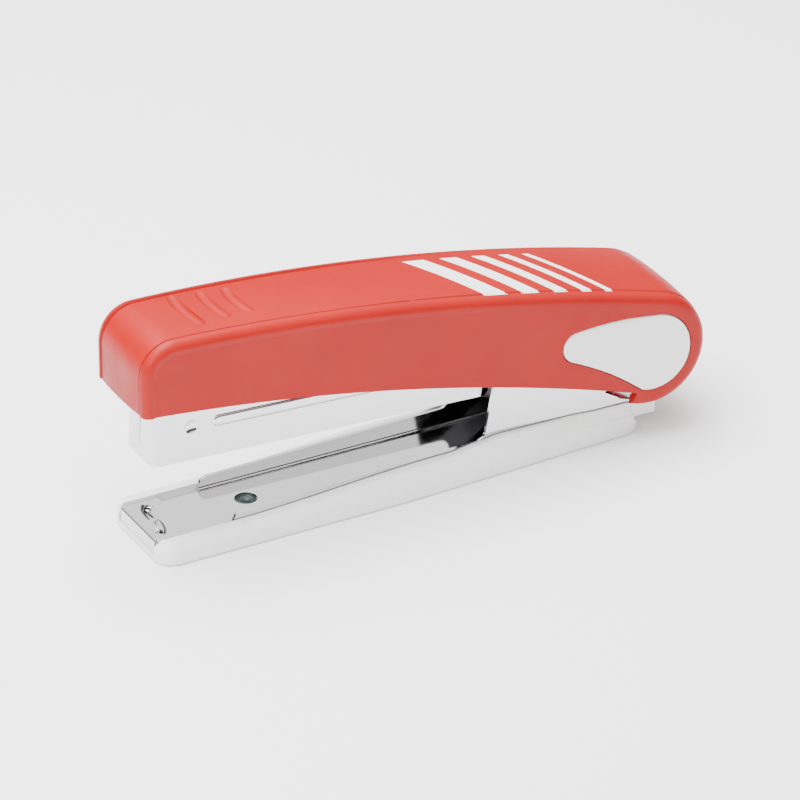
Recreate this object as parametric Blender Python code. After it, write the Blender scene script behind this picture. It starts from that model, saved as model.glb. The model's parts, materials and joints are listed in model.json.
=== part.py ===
"""Desk stapler: arched cover over a chromed magazine, on a steel channel set in a white sole.

Frame: metres, +Z up. The origin is on the underside of the sole, on the symmetry plane,
about midway along it. The stapling end points to -X and the hinge end to +X.
"""
import math

import bmesh
import bpy
from mathutils import Matrix, Vector

MM = 0.001

# ---------------------------------------------------------------- clearances
GAP = 0.3 * MM              # between two pieces that touch
SLIDE_GAP = 0.3 * MM        # either side of a piece that slides
SIDE_PLAY = 0.7 * MM        # between pieces that swing past each other
PASS = 5.0 * MM             # how far a cutter runs past the face it cuts

# ---------------------------------------------------------------- staples
STAPLE_CROWN = 12.8 * MM
STAPLE_LEG = 6.0 * MM
STAPLE_WIRE = 0.5 * MM
STRIP_LENGTH = 30.0 * MM

# ---------------------------------------------------------------- sheets and walls
SHEET = 1.0 * MM            # base channel
ANVIL_SHEET = 0.8 * MM
MAG_WALL = 0.7 * MM
MAG_FRONT_WALL = 0.6 * MM
RAIL_WALL = 0.8 * MM
LEVER_SHEET = 0.8 * MM
LEAF_SHEET = 0.6 * MM
DRIVER_T = 0.5 * MM
COVER_WALL = 2.4 * MM

# ---------------------------------------------------------------- hinge
MAG_REACH = 144.5 * MM      # from the hinge axis to the magazine's front face
HINGE_RISE = 22.0 * MM      # from the base plate to the hinge axis
SHOE_FLOOR = 3.7 * MM       # height of the seat that the channel lies on
PLATE_LOW = SHOE_FLOOR + GAP
PLATE_TOP = PLATE_LOW + SHEET
HINGE_X = MAG_REACH / 2 + 1.35 * MM
HINGE_Z = PLATE_TOP + HINGE_RISE
PIN_R = 2.5 * MM
PIN_HEAD_R = PIN_R + 1.7 * MM
PIN_HEAD_T = 1.0 * MM
PIN_HEAD_EDGE = 0.3 * MM
CLIP_R = PIN_R + 2.1 * MM
SPACER_R = PIN_R + 1.7 * MM

# ---------------------------------------------------------------- magazine, level with its hinge
MAG_TILT = math.radians(2.7)     # nose up at rest
MAG_FRONT = -MAG_REACH
MAG_HALF = STAPLE_CROWN / 2 + GAP + MAG_WALL
MAG_BOTTOM = -7.7 * MM
MAG_FLOOR = MAG_BOTTOM + MAG_WALL
STAPLE_LOW = MAG_FLOOR + GAP / 2
CROWN_TOP = STAPLE_LOW + STAPLE_LEG
MAG_TOP = CROWN_TOP + 8.15 * MM
MAG_SKIRT_REAR = -45.0 * MM
MAG_SKIRT_R = 2.2 * MM
MAG_REAR_BOTTOM = MAG_BOTTOM + 2.8 * MM
DRIVER_SLOT = 1.6 * MM           # free length between the front wall and the staples

# ---------------------------------------------------------------- staple rail and pusher
RAIL_FRONT = MAG_FRONT + MAG_FRONT_WALL + DRIVER_SLOT
RAIL_REAR = MAG_SKIRT_REAR - 0.8 * MM
RAIL_LOW = MAG_FLOOR + GAP
RAIL_TOP = CROWN_TOP - STAPLE_WIRE - GAP
STAPLE_HALF = MAG_HALF - MAG_WALL - GAP
RAIL_HALF = STAPLE_HALF - STAPLE_WIRE - GAP
RAIL_SLOT_HALF = 1.3 * MM
RAIL_END_BLOCK = 7.0 * MM
RAIL_BAY_TOP = RAIL_TOP - RAIL_WALL
RAIL_BAY_REAR = RAIL_REAR - RAIL_END_BLOCK
RAIL_RIVET_R = 1.2 * MM
RAIL_RIVET_RISE = 3.4 * MM
RAIL_RIVET_X = (RAIL_FRONT + 2.6 * MM, RAIL_REAR - 2.4 * MM)
COIL_WIRE_R = 0.25 * MM
COIL_R = (RAIL_BAY_TOP - RAIL_LOW) / 2 - GAP - COIL_WIRE_R
COIL_TURNS = 22
ROD_R = COIL_R - COIL_WIRE_R - GAP
ROD_Z = (RAIL_BAY_TOP + RAIL_LOW) / 2
ROD_FRONT = RAIL_RIVET_X[0] + RAIL_RIVET_R + 3 * GAP
ROD_REAR = RAIL_RIVET_X[1] - RAIL_RIVET_R - 3 * GAP
PUSHER_LENGTH = 9.7 * MM
PUSHER_FRONT = RAIL_FRONT + STRIP_LENGTH + GAP
PUSHER_REAR = PUSHER_FRONT + PUSHER_LENGTH
PUSHER_TAB = 3.6 * MM            # height of the thumb tab above the staples
PUSHER_TAB_LENGTH = 3.0 * MM
PUSHER_TAB_INSET = 1.5 * MM
PUSHER_TRAVEL = RAIL_BAY_REAR - PUSHER_REAR - 2 * COIL_TURNS * COIL_WIRE_R - 0.5 * MM

# ---------------------------------------------------------------- lever and driver
LEVER_HALF = MAG_HALF + SIDE_PLAY + LEVER_SHEET + 0.1 * MM
LEVER_SLOPE = math.radians(6.3)  # web slope at rest, nose up
LEVER_CLEAR = MAG_TOP + 1.6 * MM # distance from the hinge axis to the web's underside
LEVER_WEB_REAR = -12.5 * MM
LEVER_FLANGE = 7.6 * MM          # depth of the flanges at mid length
LEVER_FLANGE_FRONT = 9.4 * MM
LEVER_FLANGE_REAR = 8.6 * MM
TAB_HALF = LEVER_HALF - LEVER_SHEET - 1.4 * MM
TAB_RISE = 7.8 * MM
DRIVER_HALF = STAPLE_HALF - 0.2 * MM
DRIVER_FRONT = MAG_FRONT + MAG_FRONT_WALL + 0.5 * MM
DRIVER_STROKE = math.radians(3.3)
DRIVER_REST = CROWN_TOP - MAG_BOTTOM + 1.65 * MM   # driver's tip above the magazine's underside
DRIVER_RIVET_R = 1.2 * MM
DRIVER_RIVET_HEAD_R = 2.0 * MM
DRIVER_RIVET_HEAD_T = 0.7 * MM
DRIVER_RIVET_Y = DRIVER_HALF - 2.7 * MM
LIFT_LEAF_HALF = MAG_HALF - 0.4 * MM
LIFT_RIVET_X = HINGE_X - 53.6 * MM
LIFT_LEAF_TIP = HINGE_X - 87.6 * MM

# ---------------------------------------------------------------- base channel and anvil
CHANNEL_HALF = LEVER_HALF + SIDE_PLAY + SHEET
ANVIL_HALF = CHANNEL_HALF
ANVIL_FRONT = HINGE_X + MAG_FRONT - 0.4 * MM
ANVIL_LENGTH = 9.8 * MM
ANVIL_REAR = ANVIL_FRONT + ANVIL_LENGTH
ANVIL_TRAVEL = 4.0 * MM
ANVIL_EDGE = 0.6 * MM
ANVIL_INNER_TOP = PLATE_TOP + SLIDE_GAP
ANVIL_TOP = ANVIL_INNER_TOP + ANVIL_SHEET
POCKET_X = ANVIL_FRONT + 3.7 * MM
POCKET_LENGTH = 5.0 * MM
POCKET_WIDTH = 2.6 * MM
POCKET_DEPTH = 0.5 * MM
POCKET_SPACING = STAPLE_CROWN - 2.4 * MM
POCKET_SKEW = math.radians(14.0)
TONGUE_HALF = ANVIL_HALF - ANVIL_SHEET - SLIDE_GAP
TONGUE_FRONT = ANVIL_FRONT + ANVIL_SHEET + SLIDE_GAP + ANVIL_TRAVEL
FLANGE_FRONT = ANVIL_REAR + ANVIL_TRAVEL + 8.1 * MM
FLANGE_RISE_FRONT = 3.5 * MM
FLANGE_RISE_REAR = 4.9 * MM
FLANGE_CORNER_R = 3.0 * MM
EAR_FRONT = HINGE_X - 47.6 * MM
EAR_LEAN = 3.2 * MM         # how far the ear's front edge leans back at its top
EAR_TOP = HINGE_Z + 6.0 * MM
EAR_CORNER = (4.0 * MM, 3.0 * MM)
EAR_FILLET = 3.0 * MM
EAR_BOSS_R = PIN_R + 5.1 * MM
CHANNEL_REAR = HINGE_X + 4.4 * MM

# ---------------------------------------------------------------- fasteners of the base
SHOE_RIVET_X = (FLANGE_FRONT + 9.1 * MM, HINGE_X - 29.6 * MM)
SHOE_RIVET_R = 2.8 * MM
SHOE_RIVET_SHANK_R = 1.6 * MM
SHOE_RIVET_LOW = 1.5 * MM
RIVET_HEAD_R = 2.8 * MM
RIVET_HEAD_T = 0.8 * MM
RETURN_RIVET_X = HINGE_X - 15.6 * MM
RETURN_RIVET_R = 1.5 * MM
RETURN_LEAF_HALF = 4.5 * MM
RETURN_LEAF_REAR = RETURN_RIVET_X + 6.0 * MM
RETURN_LEAF_TIP = HINGE_X + MAG_SKIRT_REAR - 5.6 * MM

# ---------------------------------------------------------------- cover
COVER_FRONT_HALF = LEVER_HALF + 2.8 * MM + COVER_WALL
COVER_REAR_HALF = CHANNEL_HALF + GAP + PIN_HEAD_T + 2.9 * MM + COVER_WALL
COVER_FRONT = HINGE_X + MAG_FRONT - 2.9 * MM - COVER_WALL
COVER_REAR_R = HINGE_Z - SHOE_FLOOR - 7.1 * MM
COVER_NOSE_R = 9.8 * MM
COVER_TOP_MID_REACH = 0.568 * MAG_REACH      # where the top curve is given its middle point
COVER_BOTTOM_MID_REACH = 0.528 * MAG_REACH   # and the lower edge its own
COVER_RISE_FRONT = 13.25 * MM                # cover top above the lever's web, at the front
COVER_RISE_MID = 15.54 * MM
COVER_DROP_FRONT = 7.05 * MM                 # lower edge below the lever's web, at the front
COVER_DROP_MID = 9.32 * MM
COVER_TOP_ANGLE = math.radians(74.8)      # where the top runs into the round rear end
COVER_BOTTOM_ANGLE = math.radians(247.0)  # where the lower edge runs into the round rear end
COVER_LIP_ANGLE = math.radians(-60.0)     # where the rear wall ends, underneath
COVER_EDGE_R = 2.8 * MM
SCREW_X = (HINGE_X - 113.6 * MM, HINGE_X - 35.6 * MM)
SCREW_R = 1.2 * MM
SCREW_HEAD_R = 2.6 * MM
SCREW_HEAD_T = 1.2 * MM
BOSS_R = 3.4 * MM
SCREW_DEPTH = 7.0 * MM

# ---------------------------------------------------------------- sole
SHOE_FRONT = ANVIL_FRONT - 1.2 * MM
SHOE_REAR = HINGE_X + 0.4 * MM
SHOE_HALF_FRONT = CHANNEL_HALF + GAP + 4.4 * MM
SHOE_HALF_REAR = CHANNEL_HALF + GAP + 0.7 * MM
SHOE_TAPER_START = -5.0 * MM
SHOE_TAPER_POWER = 1.25
SHOE_CORNER_R = 5.0 * MM
SHOE_RIM_FRONT = SHOE_FLOOR + 2.7 * MM                # rim height beside the anvil
SHOE_RIM_MID = SHOE_FLOOR + 5.5 * MM                  # where the side walls begin to rise
SHOE_RIM_EAR = SHOE_FLOOR + 7.3 * MM                  # beside the ears
SHOE_RIM_REAR = HINGE_Z - COVER_REAR_R - 0.9 * MM     # under the cover's round end

# ---------------------------------------------------------------- side insets
INSET_R = COVER_REAR_R - 5.2 * MM
INSET_TIP = (-23.0 * MM, 7.2 * MM)        # centre of the small end, from the hinge
INSET_TIP_R = 4.4 * MM
INSET_BULGE = 0.8 * MM
INSET_HOLLOW = 0.9 * MM
INSET_T = 1.7 * MM
INSET_PROUD = 0.4 * MM
INSET_EDGE_R = 0.8 * MM

ARC_STEPS = 14
MERGE = 1e-4 * MM         # points closer than this are one point


# ================================================================ small tools
def clear_scene():
    """Remove every object that the scene holds."""
    for item in list(bpy.data.objects):
        bpy.data.objects.remove(item, do_unlink=True)


def make_material(name, color, roughness, metallic=0.0):
    """A Principled finish with one colour, roughness and metallic value."""
    material = bpy.data.materials.new(name)
    material.use_nodes = True
    shader = material.node_tree.nodes["Principled BSDF"]
    shader.inputs["Base Color"].default_value = (*color, 1.0)
    shader.inputs["Roughness"].default_value = roughness
    shader.inputs["Metallic"].default_value = metallic
    material.diffuse_color = (*color, 1.0)
    return material


def make_empty(name, location, angle=0.0, parent=None):
    """An axis that pieces hang on: an empty, turned about Y."""
    axis = bpy.data.objects.new(name, None)
    bpy.context.collection.objects.link(axis)
    axis.location = location
    axis.rotation_euler = (0.0, angle, 0.0)
    axis.parent = parent
    return axis


def make_object(name, mesh_data, material=None, parent=None):
    """Put a bmesh into a new named object, with its faces pointing out."""
    bmesh.ops.recalc_face_normals(mesh_data, faces=mesh_data.faces[:])
    mesh = bpy.data.meshes.new(name)
    mesh_data.to_mesh(mesh)
    mesh_data.free()
    mesh.shade_smooth()
    mesh.set_sharp_from_angle(angle=math.radians(32))
    item = bpy.data.objects.new(name, mesh)
    bpy.context.collection.objects.link(item)
    item.parent = parent
    if material is not None:
        mesh.materials.append(material)
    return item


def combine(item, other_data, operation):
    """Add to, or cut from, a piece with a boolean; the second shape stays as a hidden guide."""
    other = make_object(item.name + "_" + operation.lower(), other_data, parent=item.parent)
    other.display_type = "WIRE"
    other.hide_render = True
    modifier = item.modifiers.new(operation.title(), "BOOLEAN")
    modifier.operation = operation
    modifier.solver = "EXACT"
    modifier.object = other
    return item


def cut(item, cutter_data):
    """Take a shape away from a piece."""
    return combine(item, cutter_data, "DIFFERENCE")


def join(item, extra_data):
    """Weld a shape onto a piece."""
    return combine(item, extra_data, "UNION")


# ================================================================ shapes
def extrude(corners, along):
    """Raise a flat outline of 3-D points into a solid."""
    data = bmesh.new()
    face = data.faces.new([data.verts.new(corner) for corner in corners])
    grown = bmesh.ops.extrude_face_region(data, geom=[face])
    moved = [part for part in grown["geom"] if isinstance(part, bmesh.types.BMVert)]
    bmesh.ops.translate(data, vec=along, verts=moved)
    return data


def prism(outline, y_low, y_high):
    """Extrude a side outline, a list of (x, z), from one Y to another."""
    return extrude([(x, y_low, z) for x, z in outline], (0.0, y_high - y_low, 0.0))


def plate(outline, z_low, z_high):
    """Extrude a plan outline, a list of (x, y), from one height to another."""
    return extrude([(x, y, z_low) for x, y in outline], (0.0, 0.0, z_high - z_low))


def block(low, high):
    """A box between two opposite corners."""
    data = bmesh.new()
    bmesh.ops.create_cube(data, size=1.0)
    size = [high[axis] - low[axis] for axis in range(3)]
    centre = [(high[axis] + low[axis]) / 2 for axis in range(3)]
    bmesh.ops.scale(data, vec=size, verts=data.verts[:])
    bmesh.ops.translate(data, vec=centre, verts=data.verts[:])
    return data


def rod(start, end, radius, segments=24):
    """A round bar between two points."""
    data = bmesh.new()
    along = Vector(end) - Vector(start)
    bmesh.ops.create_cone(data, cap_ends=True, segments=segments, radius1=radius,
                          radius2=radius, depth=along.length)
    turn = Vector((0.0, 0.0, 1.0)).rotation_difference(along).to_matrix().to_4x4()
    place = Matrix.Translation((Vector(start) + Vector(end)) / 2) @ turn
    bmesh.ops.transform(data, matrix=place, verts=data.verts[:])
    return data


def turned(profile, axis_point, axis, segments=28, hollow=False):
    """Spin a profile of (radius, height) about an axis: a hollow one closes on itself."""
    data = bmesh.new()
    corners = [data.verts.new((radius, 0.0, height)) for radius, height in profile]
    edges = [data.edges.new(pair) for pair in zip(corners, corners[1:])]
    if hollow:
        edges.append(data.edges.new((corners[-1], corners[0])))
    bmesh.ops.spin(data, geom=corners + edges, cent=(0, 0, 0), axis=(0, 0, 1),
                   angle=math.tau, steps=segments, use_merge=True)
    bmesh.ops.remove_doubles(data, verts=data.verts[:], dist=MERGE)
    turn = Vector((0.0, 0.0, 1.0)).rotation_difference(Vector(axis)).to_matrix().to_4x4()
    bmesh.ops.transform(data, matrix=Matrix.Translation(axis_point) @ turn, verts=data.verts[:])
    return data


def arc(centre, radius, start, end, steps=ARC_STEPS):
    """Points on a circle, from one angle to another."""
    return [(centre[0] + radius * math.cos(start + (end - start) * i / steps),
             centre[1] + radius * math.sin(start + (end - start) * i / steps))
            for i in range(steps + 1)]


def circle_through(first, middle, last):
    """Centre and radius of the circle through three points."""
    ax, az = first
    bx, bz = middle
    cx, cz = last
    d = 2 * (ax * (bz - cz) + bx * (cz - az) + cx * (az - bz))
    a2 = ax * ax + az * az
    b2 = bx * bx + bz * bz
    c2 = cx * cx + cz * cz
    x = (a2 * (bz - cz) + b2 * (cz - az) + c2 * (az - bz)) / d
    z = (a2 * (cx - bx) + b2 * (ax - cx) + c2 * (bx - ax)) / d
    return (x, z), math.hypot(ax - x, az - z)


def arc_through(first, middle, last, steps=ARC_STEPS, grow=0.0):
    """Points on the circle through three points, its radius grown by a distance."""
    centre, radius = circle_through(first, middle, last)
    start = math.atan2(first[1] - centre[1], first[0] - centre[0])
    end = math.atan2(last[1] - centre[1], last[0] - centre[0])
    return arc(centre, radius + grow, start, end, steps)


def strip(centre_line, thickness, half_width):
    """A bent sheet strip: a centre line in side view, given a thickness and a width."""
    upper = []
    lower = []
    last = len(centre_line) - 1
    for i, (x, z) in enumerate(centre_line):
        ahead = centre_line[min(i + 1, last)]
        behind = centre_line[max(i - 1, 0)]
        along = Vector((ahead[0] - behind[0], ahead[1] - behind[1])).normalized()
        side = Vector((-along.y, along.x)) * thickness / 2
        upper.append((x + side.x, z + side.y))
        lower.append((x - side.x, z - side.y))
    return prism(upper + lower[::-1], -half_width, half_width)


def hinge_ring(radius, half_length, segments=28):
    """A bar along the hinge axis, in the hinge's own frame."""
    return rod((0.0, -half_length, 0.0), (0.0, half_length, 0.0), radius, segments)


def taper_scale(x):
    """How wide the cover is at x, as a share of its width at the rear."""
    length = HINGE_X + COVER_REAR_R - COVER_FRONT
    share = (x + HINGE_X - COVER_FRONT) / length
    half = COVER_FRONT_HALF + (COVER_REAR_HALF - COVER_FRONT_HALF) * share
    return half / COVER_REAR_HALF


def taper(data):
    """Narrow a cover shape towards the front, in the hinge's own frame."""
    for vert in data.verts:
        vert.co.y *= taper_scale(vert.co.x)
    return data


# ================================================================ sole
def shoe_plan():
    """Plan outline of the sole: square front with round corners, tapering to the rear."""
    side = []
    steps = 12
    for i in range(steps + 1):
        share = i / steps
        x = SHOE_TAPER_START + (SHOE_REAR - SHOE_CORNER_R - SHOE_TAPER_START) * share
        y = SHOE_HALF_FRONT - (SHOE_HALF_FRONT - SHOE_HALF_REAR) * share ** SHOE_TAPER_POWER
        side.append((x, y))
    front = arc((SHOE_FRONT + SHOE_CORNER_R, SHOE_HALF_FRONT - SHOE_CORNER_R), SHOE_CORNER_R,
                math.pi, math.pi / 2, 6)
    rear = arc((SHOE_REAR - SHOE_CORNER_R, SHOE_HALF_REAR - SHOE_CORNER_R), SHOE_CORNER_R,
               math.pi / 2, 0.0, 6)
    upper = front + side + rear[1:]
    return upper + [(x, -y) for x, y in reversed(upper)]


def rim_profile():
    """Height of the sole's rim along its length, as (x, z) points from front to rear."""
    under_cover = HINGE_X - COVER_REAR_R
    return [(SHOE_FRONT - PASS, SHOE_RIM_FRONT), (FLANGE_FRONT, SHOE_RIM_FRONT),
            (EAR_FRONT - 12 * MM, SHOE_RIM_MID), (EAR_FRONT - 2 * MM, SHOE_RIM_EAR - 0.6 * MM),
            (EAR_FRONT + 3 * MM, SHOE_RIM_EAR), (under_cover - 6 * MM, SHOE_RIM_EAR - 0.3 * MM),
            (under_cover + 2 * MM, SHOE_RIM_REAR + 0.2 * MM), (SHOE_REAR + PASS, SHOE_RIM_REAR)]


def build_shoe(material):
    """White sole with a seat for the channel and a rim around it."""
    tall = SHOE_RIM_EAR + PASS
    item = make_object("base_shoe", plate(shoe_plan(), 0.0, tall), material)
    profile = rim_profile()
    above = profile + [(SHOE_REAR + PASS, tall + PASS), (SHOE_FRONT - PASS, tall + PASS)]
    cut(item, prism(above, -SHOE_HALF_FRONT - PASS, SHOE_HALF_FRONT + PASS))
    seat_half = CHANNEL_HALF + GAP
    seat_front = ANVIL_FRONT - GAP
    cut(item, block((seat_front, -seat_half, SHOE_FLOOR),
                    (SHOE_REAR + PASS, seat_half, tall + PASS)))
    for x in SHOE_RIVET_X:
        cut(item, rod((x, 0, SHOE_RIVET_LOW - GAP), (x, 0, SHOE_FLOOR + PASS),
                      SHOE_RIVET_SHANK_R + GAP))
    return item


# ================================================================ base channel
def channel_side():
    """Side outline of the channel: plate, low flanges and tall ears that carry the hinge."""
    low = PLATE_LOW
    top = PLATE_TOP
    corner = (FLANGE_FRONT + FLANGE_CORNER_R, top + FLANGE_RISE_FRONT - FLANGE_CORNER_R)
    flange_rear = top + FLANGE_RISE_REAR
    fillet = (EAR_FRONT - EAR_FILLET, flange_rear + EAR_FILLET)
    rear_top = HINGE_Z - COVER_REAR_R - 2.8 * MM
    clear = COVER_REAR_R + 2 * GAP
    points = [(TONGUE_FRONT, low), (CHANNEL_REAR, low), (CHANNEL_REAR, rear_top)]
    points += arc((HINGE_X, HINGE_Z), clear, math.radians(-84), math.radians(-132), 8)
    points += arc((HINGE_X, HINGE_Z), EAR_BOSS_R, math.radians(-132), math.radians(96), 16)
    points += [(EAR_FRONT + EAR_LEAN + EAR_CORNER[0], EAR_TOP)]
    points += [(EAR_FRONT + EAR_LEAN, EAR_TOP - EAR_CORNER[1])]
    points += arc(fillet, EAR_FILLET, 0.0, -math.pi / 2, 5)
    points += arc(corner, FLANGE_CORNER_R, math.pi / 2, math.pi, 5)
    points += [(FLANGE_FRONT, top), (TONGUE_FRONT, top)]
    return points


def build_channel(material):
    """Chromed base channel with ears."""
    low = PLATE_LOW
    top = PLATE_TOP
    inner = CHANNEL_HALF - SHEET
    item = make_object("base_channel", prism(channel_side(), -CHANNEL_HALF, CHANNEL_HALF), material)
    cut(item, block((TONGUE_FRONT - PASS, -inner, top),
                    (CHANNEL_REAR + PASS, inner, HINGE_Z + EAR_BOSS_R + PASS)))
    for side in (-1, 1):
        y_in, y_out = sorted((side * TONGUE_HALF, side * (CHANNEL_HALF + PASS)))
        cut(item, block((TONGUE_FRONT - PASS, y_in, low - PASS),
                        (FLANGE_FRONT, y_out, top + PASS)))
    hole_half = CHANNEL_HALF + PASS
    cut(item, rod((HINGE_X, -hole_half, HINGE_Z), (HINGE_X, hole_half, HINGE_Z), PIN_R + GAP))
    for x in SHOE_RIVET_X:
        cut(item, rod((x, 0, low - PASS), (x, 0, top + PASS), SHOE_RIVET_R + GAP))
    cut(item, rod((RETURN_RIVET_X, 0, low - PASS), (RETURN_RIVET_X, 0, top + PASS),
                  RETURN_RIVET_R + GAP))
    return item


def build_shoe_rivets(material):
    """Cupped rivets that hold the channel down on the sole."""
    seat = PLATE_LOW
    rim = PLATE_TOP - 0.1 * MM
    cup = SHOE_RIVET_R - 0.7 * MM
    floor = rim - 0.5 * MM
    names = ("shoe_rivet_front", "shoe_rivet_rear")
    for name, x in zip(names, SHOE_RIVET_X):
        profile = [(0.0, SHOE_RIVET_LOW), (SHOE_RIVET_SHANK_R, SHOE_RIVET_LOW),
                   (SHOE_RIVET_SHANK_R, seat), (SHOE_RIVET_R, seat), (SHOE_RIVET_R, rim),
                   (cup, rim), (cup - 0.3 * MM, floor), (0.0, floor)]
        make_object(name, turned(profile, (x, 0, 0), (0, 0, 1)), material)


def build_hinge_pin(pin_material, clip_material):
    """Hinge pin with a head on one side and a retaining ring on the other."""
    inner = CHANNEL_HALF + GAP
    end = inner + PIN_HEAD_T
    edge = PIN_HEAD_EDGE
    head = [(0.0, -end), (PIN_HEAD_R - edge, -end), (PIN_HEAD_R, -end + edge),
            (PIN_HEAD_R, -inner), (PIN_R, -inner), (PIN_R, end), (0.0, end)]
    make_object("hinge_pin", turned(head, (HINGE_X, 0, HINGE_Z), (0, 1, 0)), pin_material)
    outer = end - 0.1 * MM
    ring = [(PIN_R + GAP, inner), (CLIP_R, inner), (CLIP_R, outer), (PIN_R + GAP, outer)]
    make_object("hinge_pin_ring", turned(ring, (HINGE_X, 0, HINGE_Z), (0, 1, 0), hollow=True), clip_material)


def magazine_bottom_at(x):
    """Height of the magazine's underside at rest, over a place on the base."""
    reach = HINGE_X - x
    return HINGE_Z + reach * math.tan(MAG_TILT) + MAG_BOTTOM / math.cos(MAG_TILT)


def build_return_leaf(leaf_material, rivet_material):
    """Leaf spring that lifts the magazine off the base, and its rivet."""
    low = PLATE_TOP + GAP + LEAF_SHEET / 2
    tip_z = magazine_bottom_at(RETURN_LEAF_TIP) - GAP - LEAF_SHEET
    bend_x = RETURN_RIVET_X - RIVET_HEAD_R - GAP
    line = [(RETURN_LEAF_REAR, low), (bend_x, low)]
    steps = 10
    for i in range(1, steps + 1):
        share = i / steps
        ease = share * share * (3 - 2 * share)
        x = bend_x + (RETURN_LEAF_TIP - bend_x) * share
        line.append((x, low + (tip_z - low) * ease))
    item = make_object("return_leaf", strip(line, LEAF_SHEET, RETURN_LEAF_HALF), leaf_material)
    cut(item, rod((RETURN_RIVET_X, 0, low - PASS / 2), (RETURN_RIVET_X, 0, low + PASS / 2),
                  RETURN_RIVET_R + GAP))
    head = PLATE_TOP + 2 * GAP + LEAF_SHEET
    crown = head + RIVET_HEAD_T
    profile = [(0.0, PLATE_LOW), (RETURN_RIVET_R, PLATE_LOW), (RETURN_RIVET_R, head),
               (RIVET_HEAD_R, head), (RIVET_HEAD_R * 0.8, crown), (0.0, crown)]
    make_object("return_leaf_rivet", turned(profile, (RETURN_RIVET_X, 0, 0), (0, 0, 1)),
                rivet_material)


def pocket_outline(side):
    """Plan outline of one clinching pocket: a slot with round ends, slightly skewed."""
    radius = POCKET_WIDTH / 2
    reach = POCKET_LENGTH / 2 - radius
    centre = (POCKET_X, side * POCKET_SPACING / 2 - side * reach)
    outline = []
    for end in (1, -1):
        cx = centre[0] + end * reach * math.sin(POCKET_SKEW)
        cy = centre[1] + end * reach * math.cos(POCKET_SKEW)
        facing = math.pi / 2 - POCKET_SKEW if end > 0 else -math.pi / 2 - POCKET_SKEW
        outline += arc((cx, cy), radius, facing + math.pi / 2, facing - math.pi / 2, 8)
    return outline[::-1]


def build_anvil(material):
    """Anvil saddle: a sheet cap that slides on the channel's front tongue."""
    low = SHOE_FLOOR + 0.2 * MM
    edge = ANVIL_HALF - ANVIL_EDGE
    beyond = ANVIL_HALF + PASS
    item = make_object("anvil_saddle", block((ANVIL_FRONT, -ANVIL_HALF, low),
                                             (ANVIL_REAR, ANVIL_HALF, ANVIL_TOP)), material)
    inner_half = TONGUE_HALF + SLIDE_GAP
    cut(item, block((ANVIL_FRONT + ANVIL_SHEET, -inner_half, low - PASS),
                    (ANVIL_REAR + PASS, inner_half, ANVIL_INNER_TOP)))
    for side in (-1, 1):
        cut(item, plate(pocket_outline(side), ANVIL_TOP - POCKET_DEPTH, ANVIL_TOP + PASS))
        corner = [(ANVIL_FRONT - PASS, side * edge, ANVIL_TOP),
                  (ANVIL_FRONT - PASS, side * beyond, ANVIL_TOP),
                  (ANVIL_FRONT - PASS, side * beyond, ANVIL_TOP - ANVIL_EDGE - PASS)]
        cut(item, extrude(corner, (ANVIL_LENGTH + 2 * PASS, 0.0, 0.0)))
    return item


# ================================================================ magazine, hinge frame
def magazine_side():
    """Side outline of the magazine channel: deep skirt in front, round eye at the hinge."""
    points = [(MAG_FRONT, MAG_TOP), (MAG_FRONT, MAG_BOTTOM)]
    points += arc((MAG_SKIRT_REAR - MAG_SKIRT_R, MAG_BOTTOM + MAG_SKIRT_R), MAG_SKIRT_R,
                  -math.pi / 2, 0.0, 6)
    points += [(MAG_SKIRT_REAR, MAG_REAR_BOTTOM)]
    start = -math.pi / 2 - math.acos(-MAG_REAR_BOTTOM / MAG_TOP)
    points += arc((0.0, 0.0), MAG_TOP, start, math.pi / 2, 16)
    return points


def build_magazine(material, parent):
    """Chromed magazine channel, open above, with an exit slot under its front end."""
    item = make_object("magazine_channel", prism(magazine_side(), -MAG_HALF, MAG_HALF),
                       material, parent)
    inner = MAG_HALF - MAG_WALL
    front_inner = MAG_FRONT + MAG_FRONT_WALL
    cut(item, block((front_inner, -inner, MAG_FLOOR), (MAG_TOP + PASS, inner, MAG_TOP + PASS)))
    cut(item, block((MAG_SKIRT_REAR - GAP, -inner, MAG_BOTTOM - PASS),
                    (MAG_TOP + PASS, inner, MAG_FLOOR + PASS)))
    cut(item, block((front_inner, -inner, MAG_BOTTOM - PASS),
                    (front_inner + DRIVER_SLOT, inner, MAG_FLOOR + PASS)))
    cut(item, hinge_ring(PIN_R + GAP, MAG_HALF + PASS))
    for x in RAIL_RIVET_X:
        cut(item, rod((x, 0, MAG_BOTTOM - PASS), (x, 0, MAG_FLOOR + PASS / 2), RAIL_RIVET_R + GAP))
    return item


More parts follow.
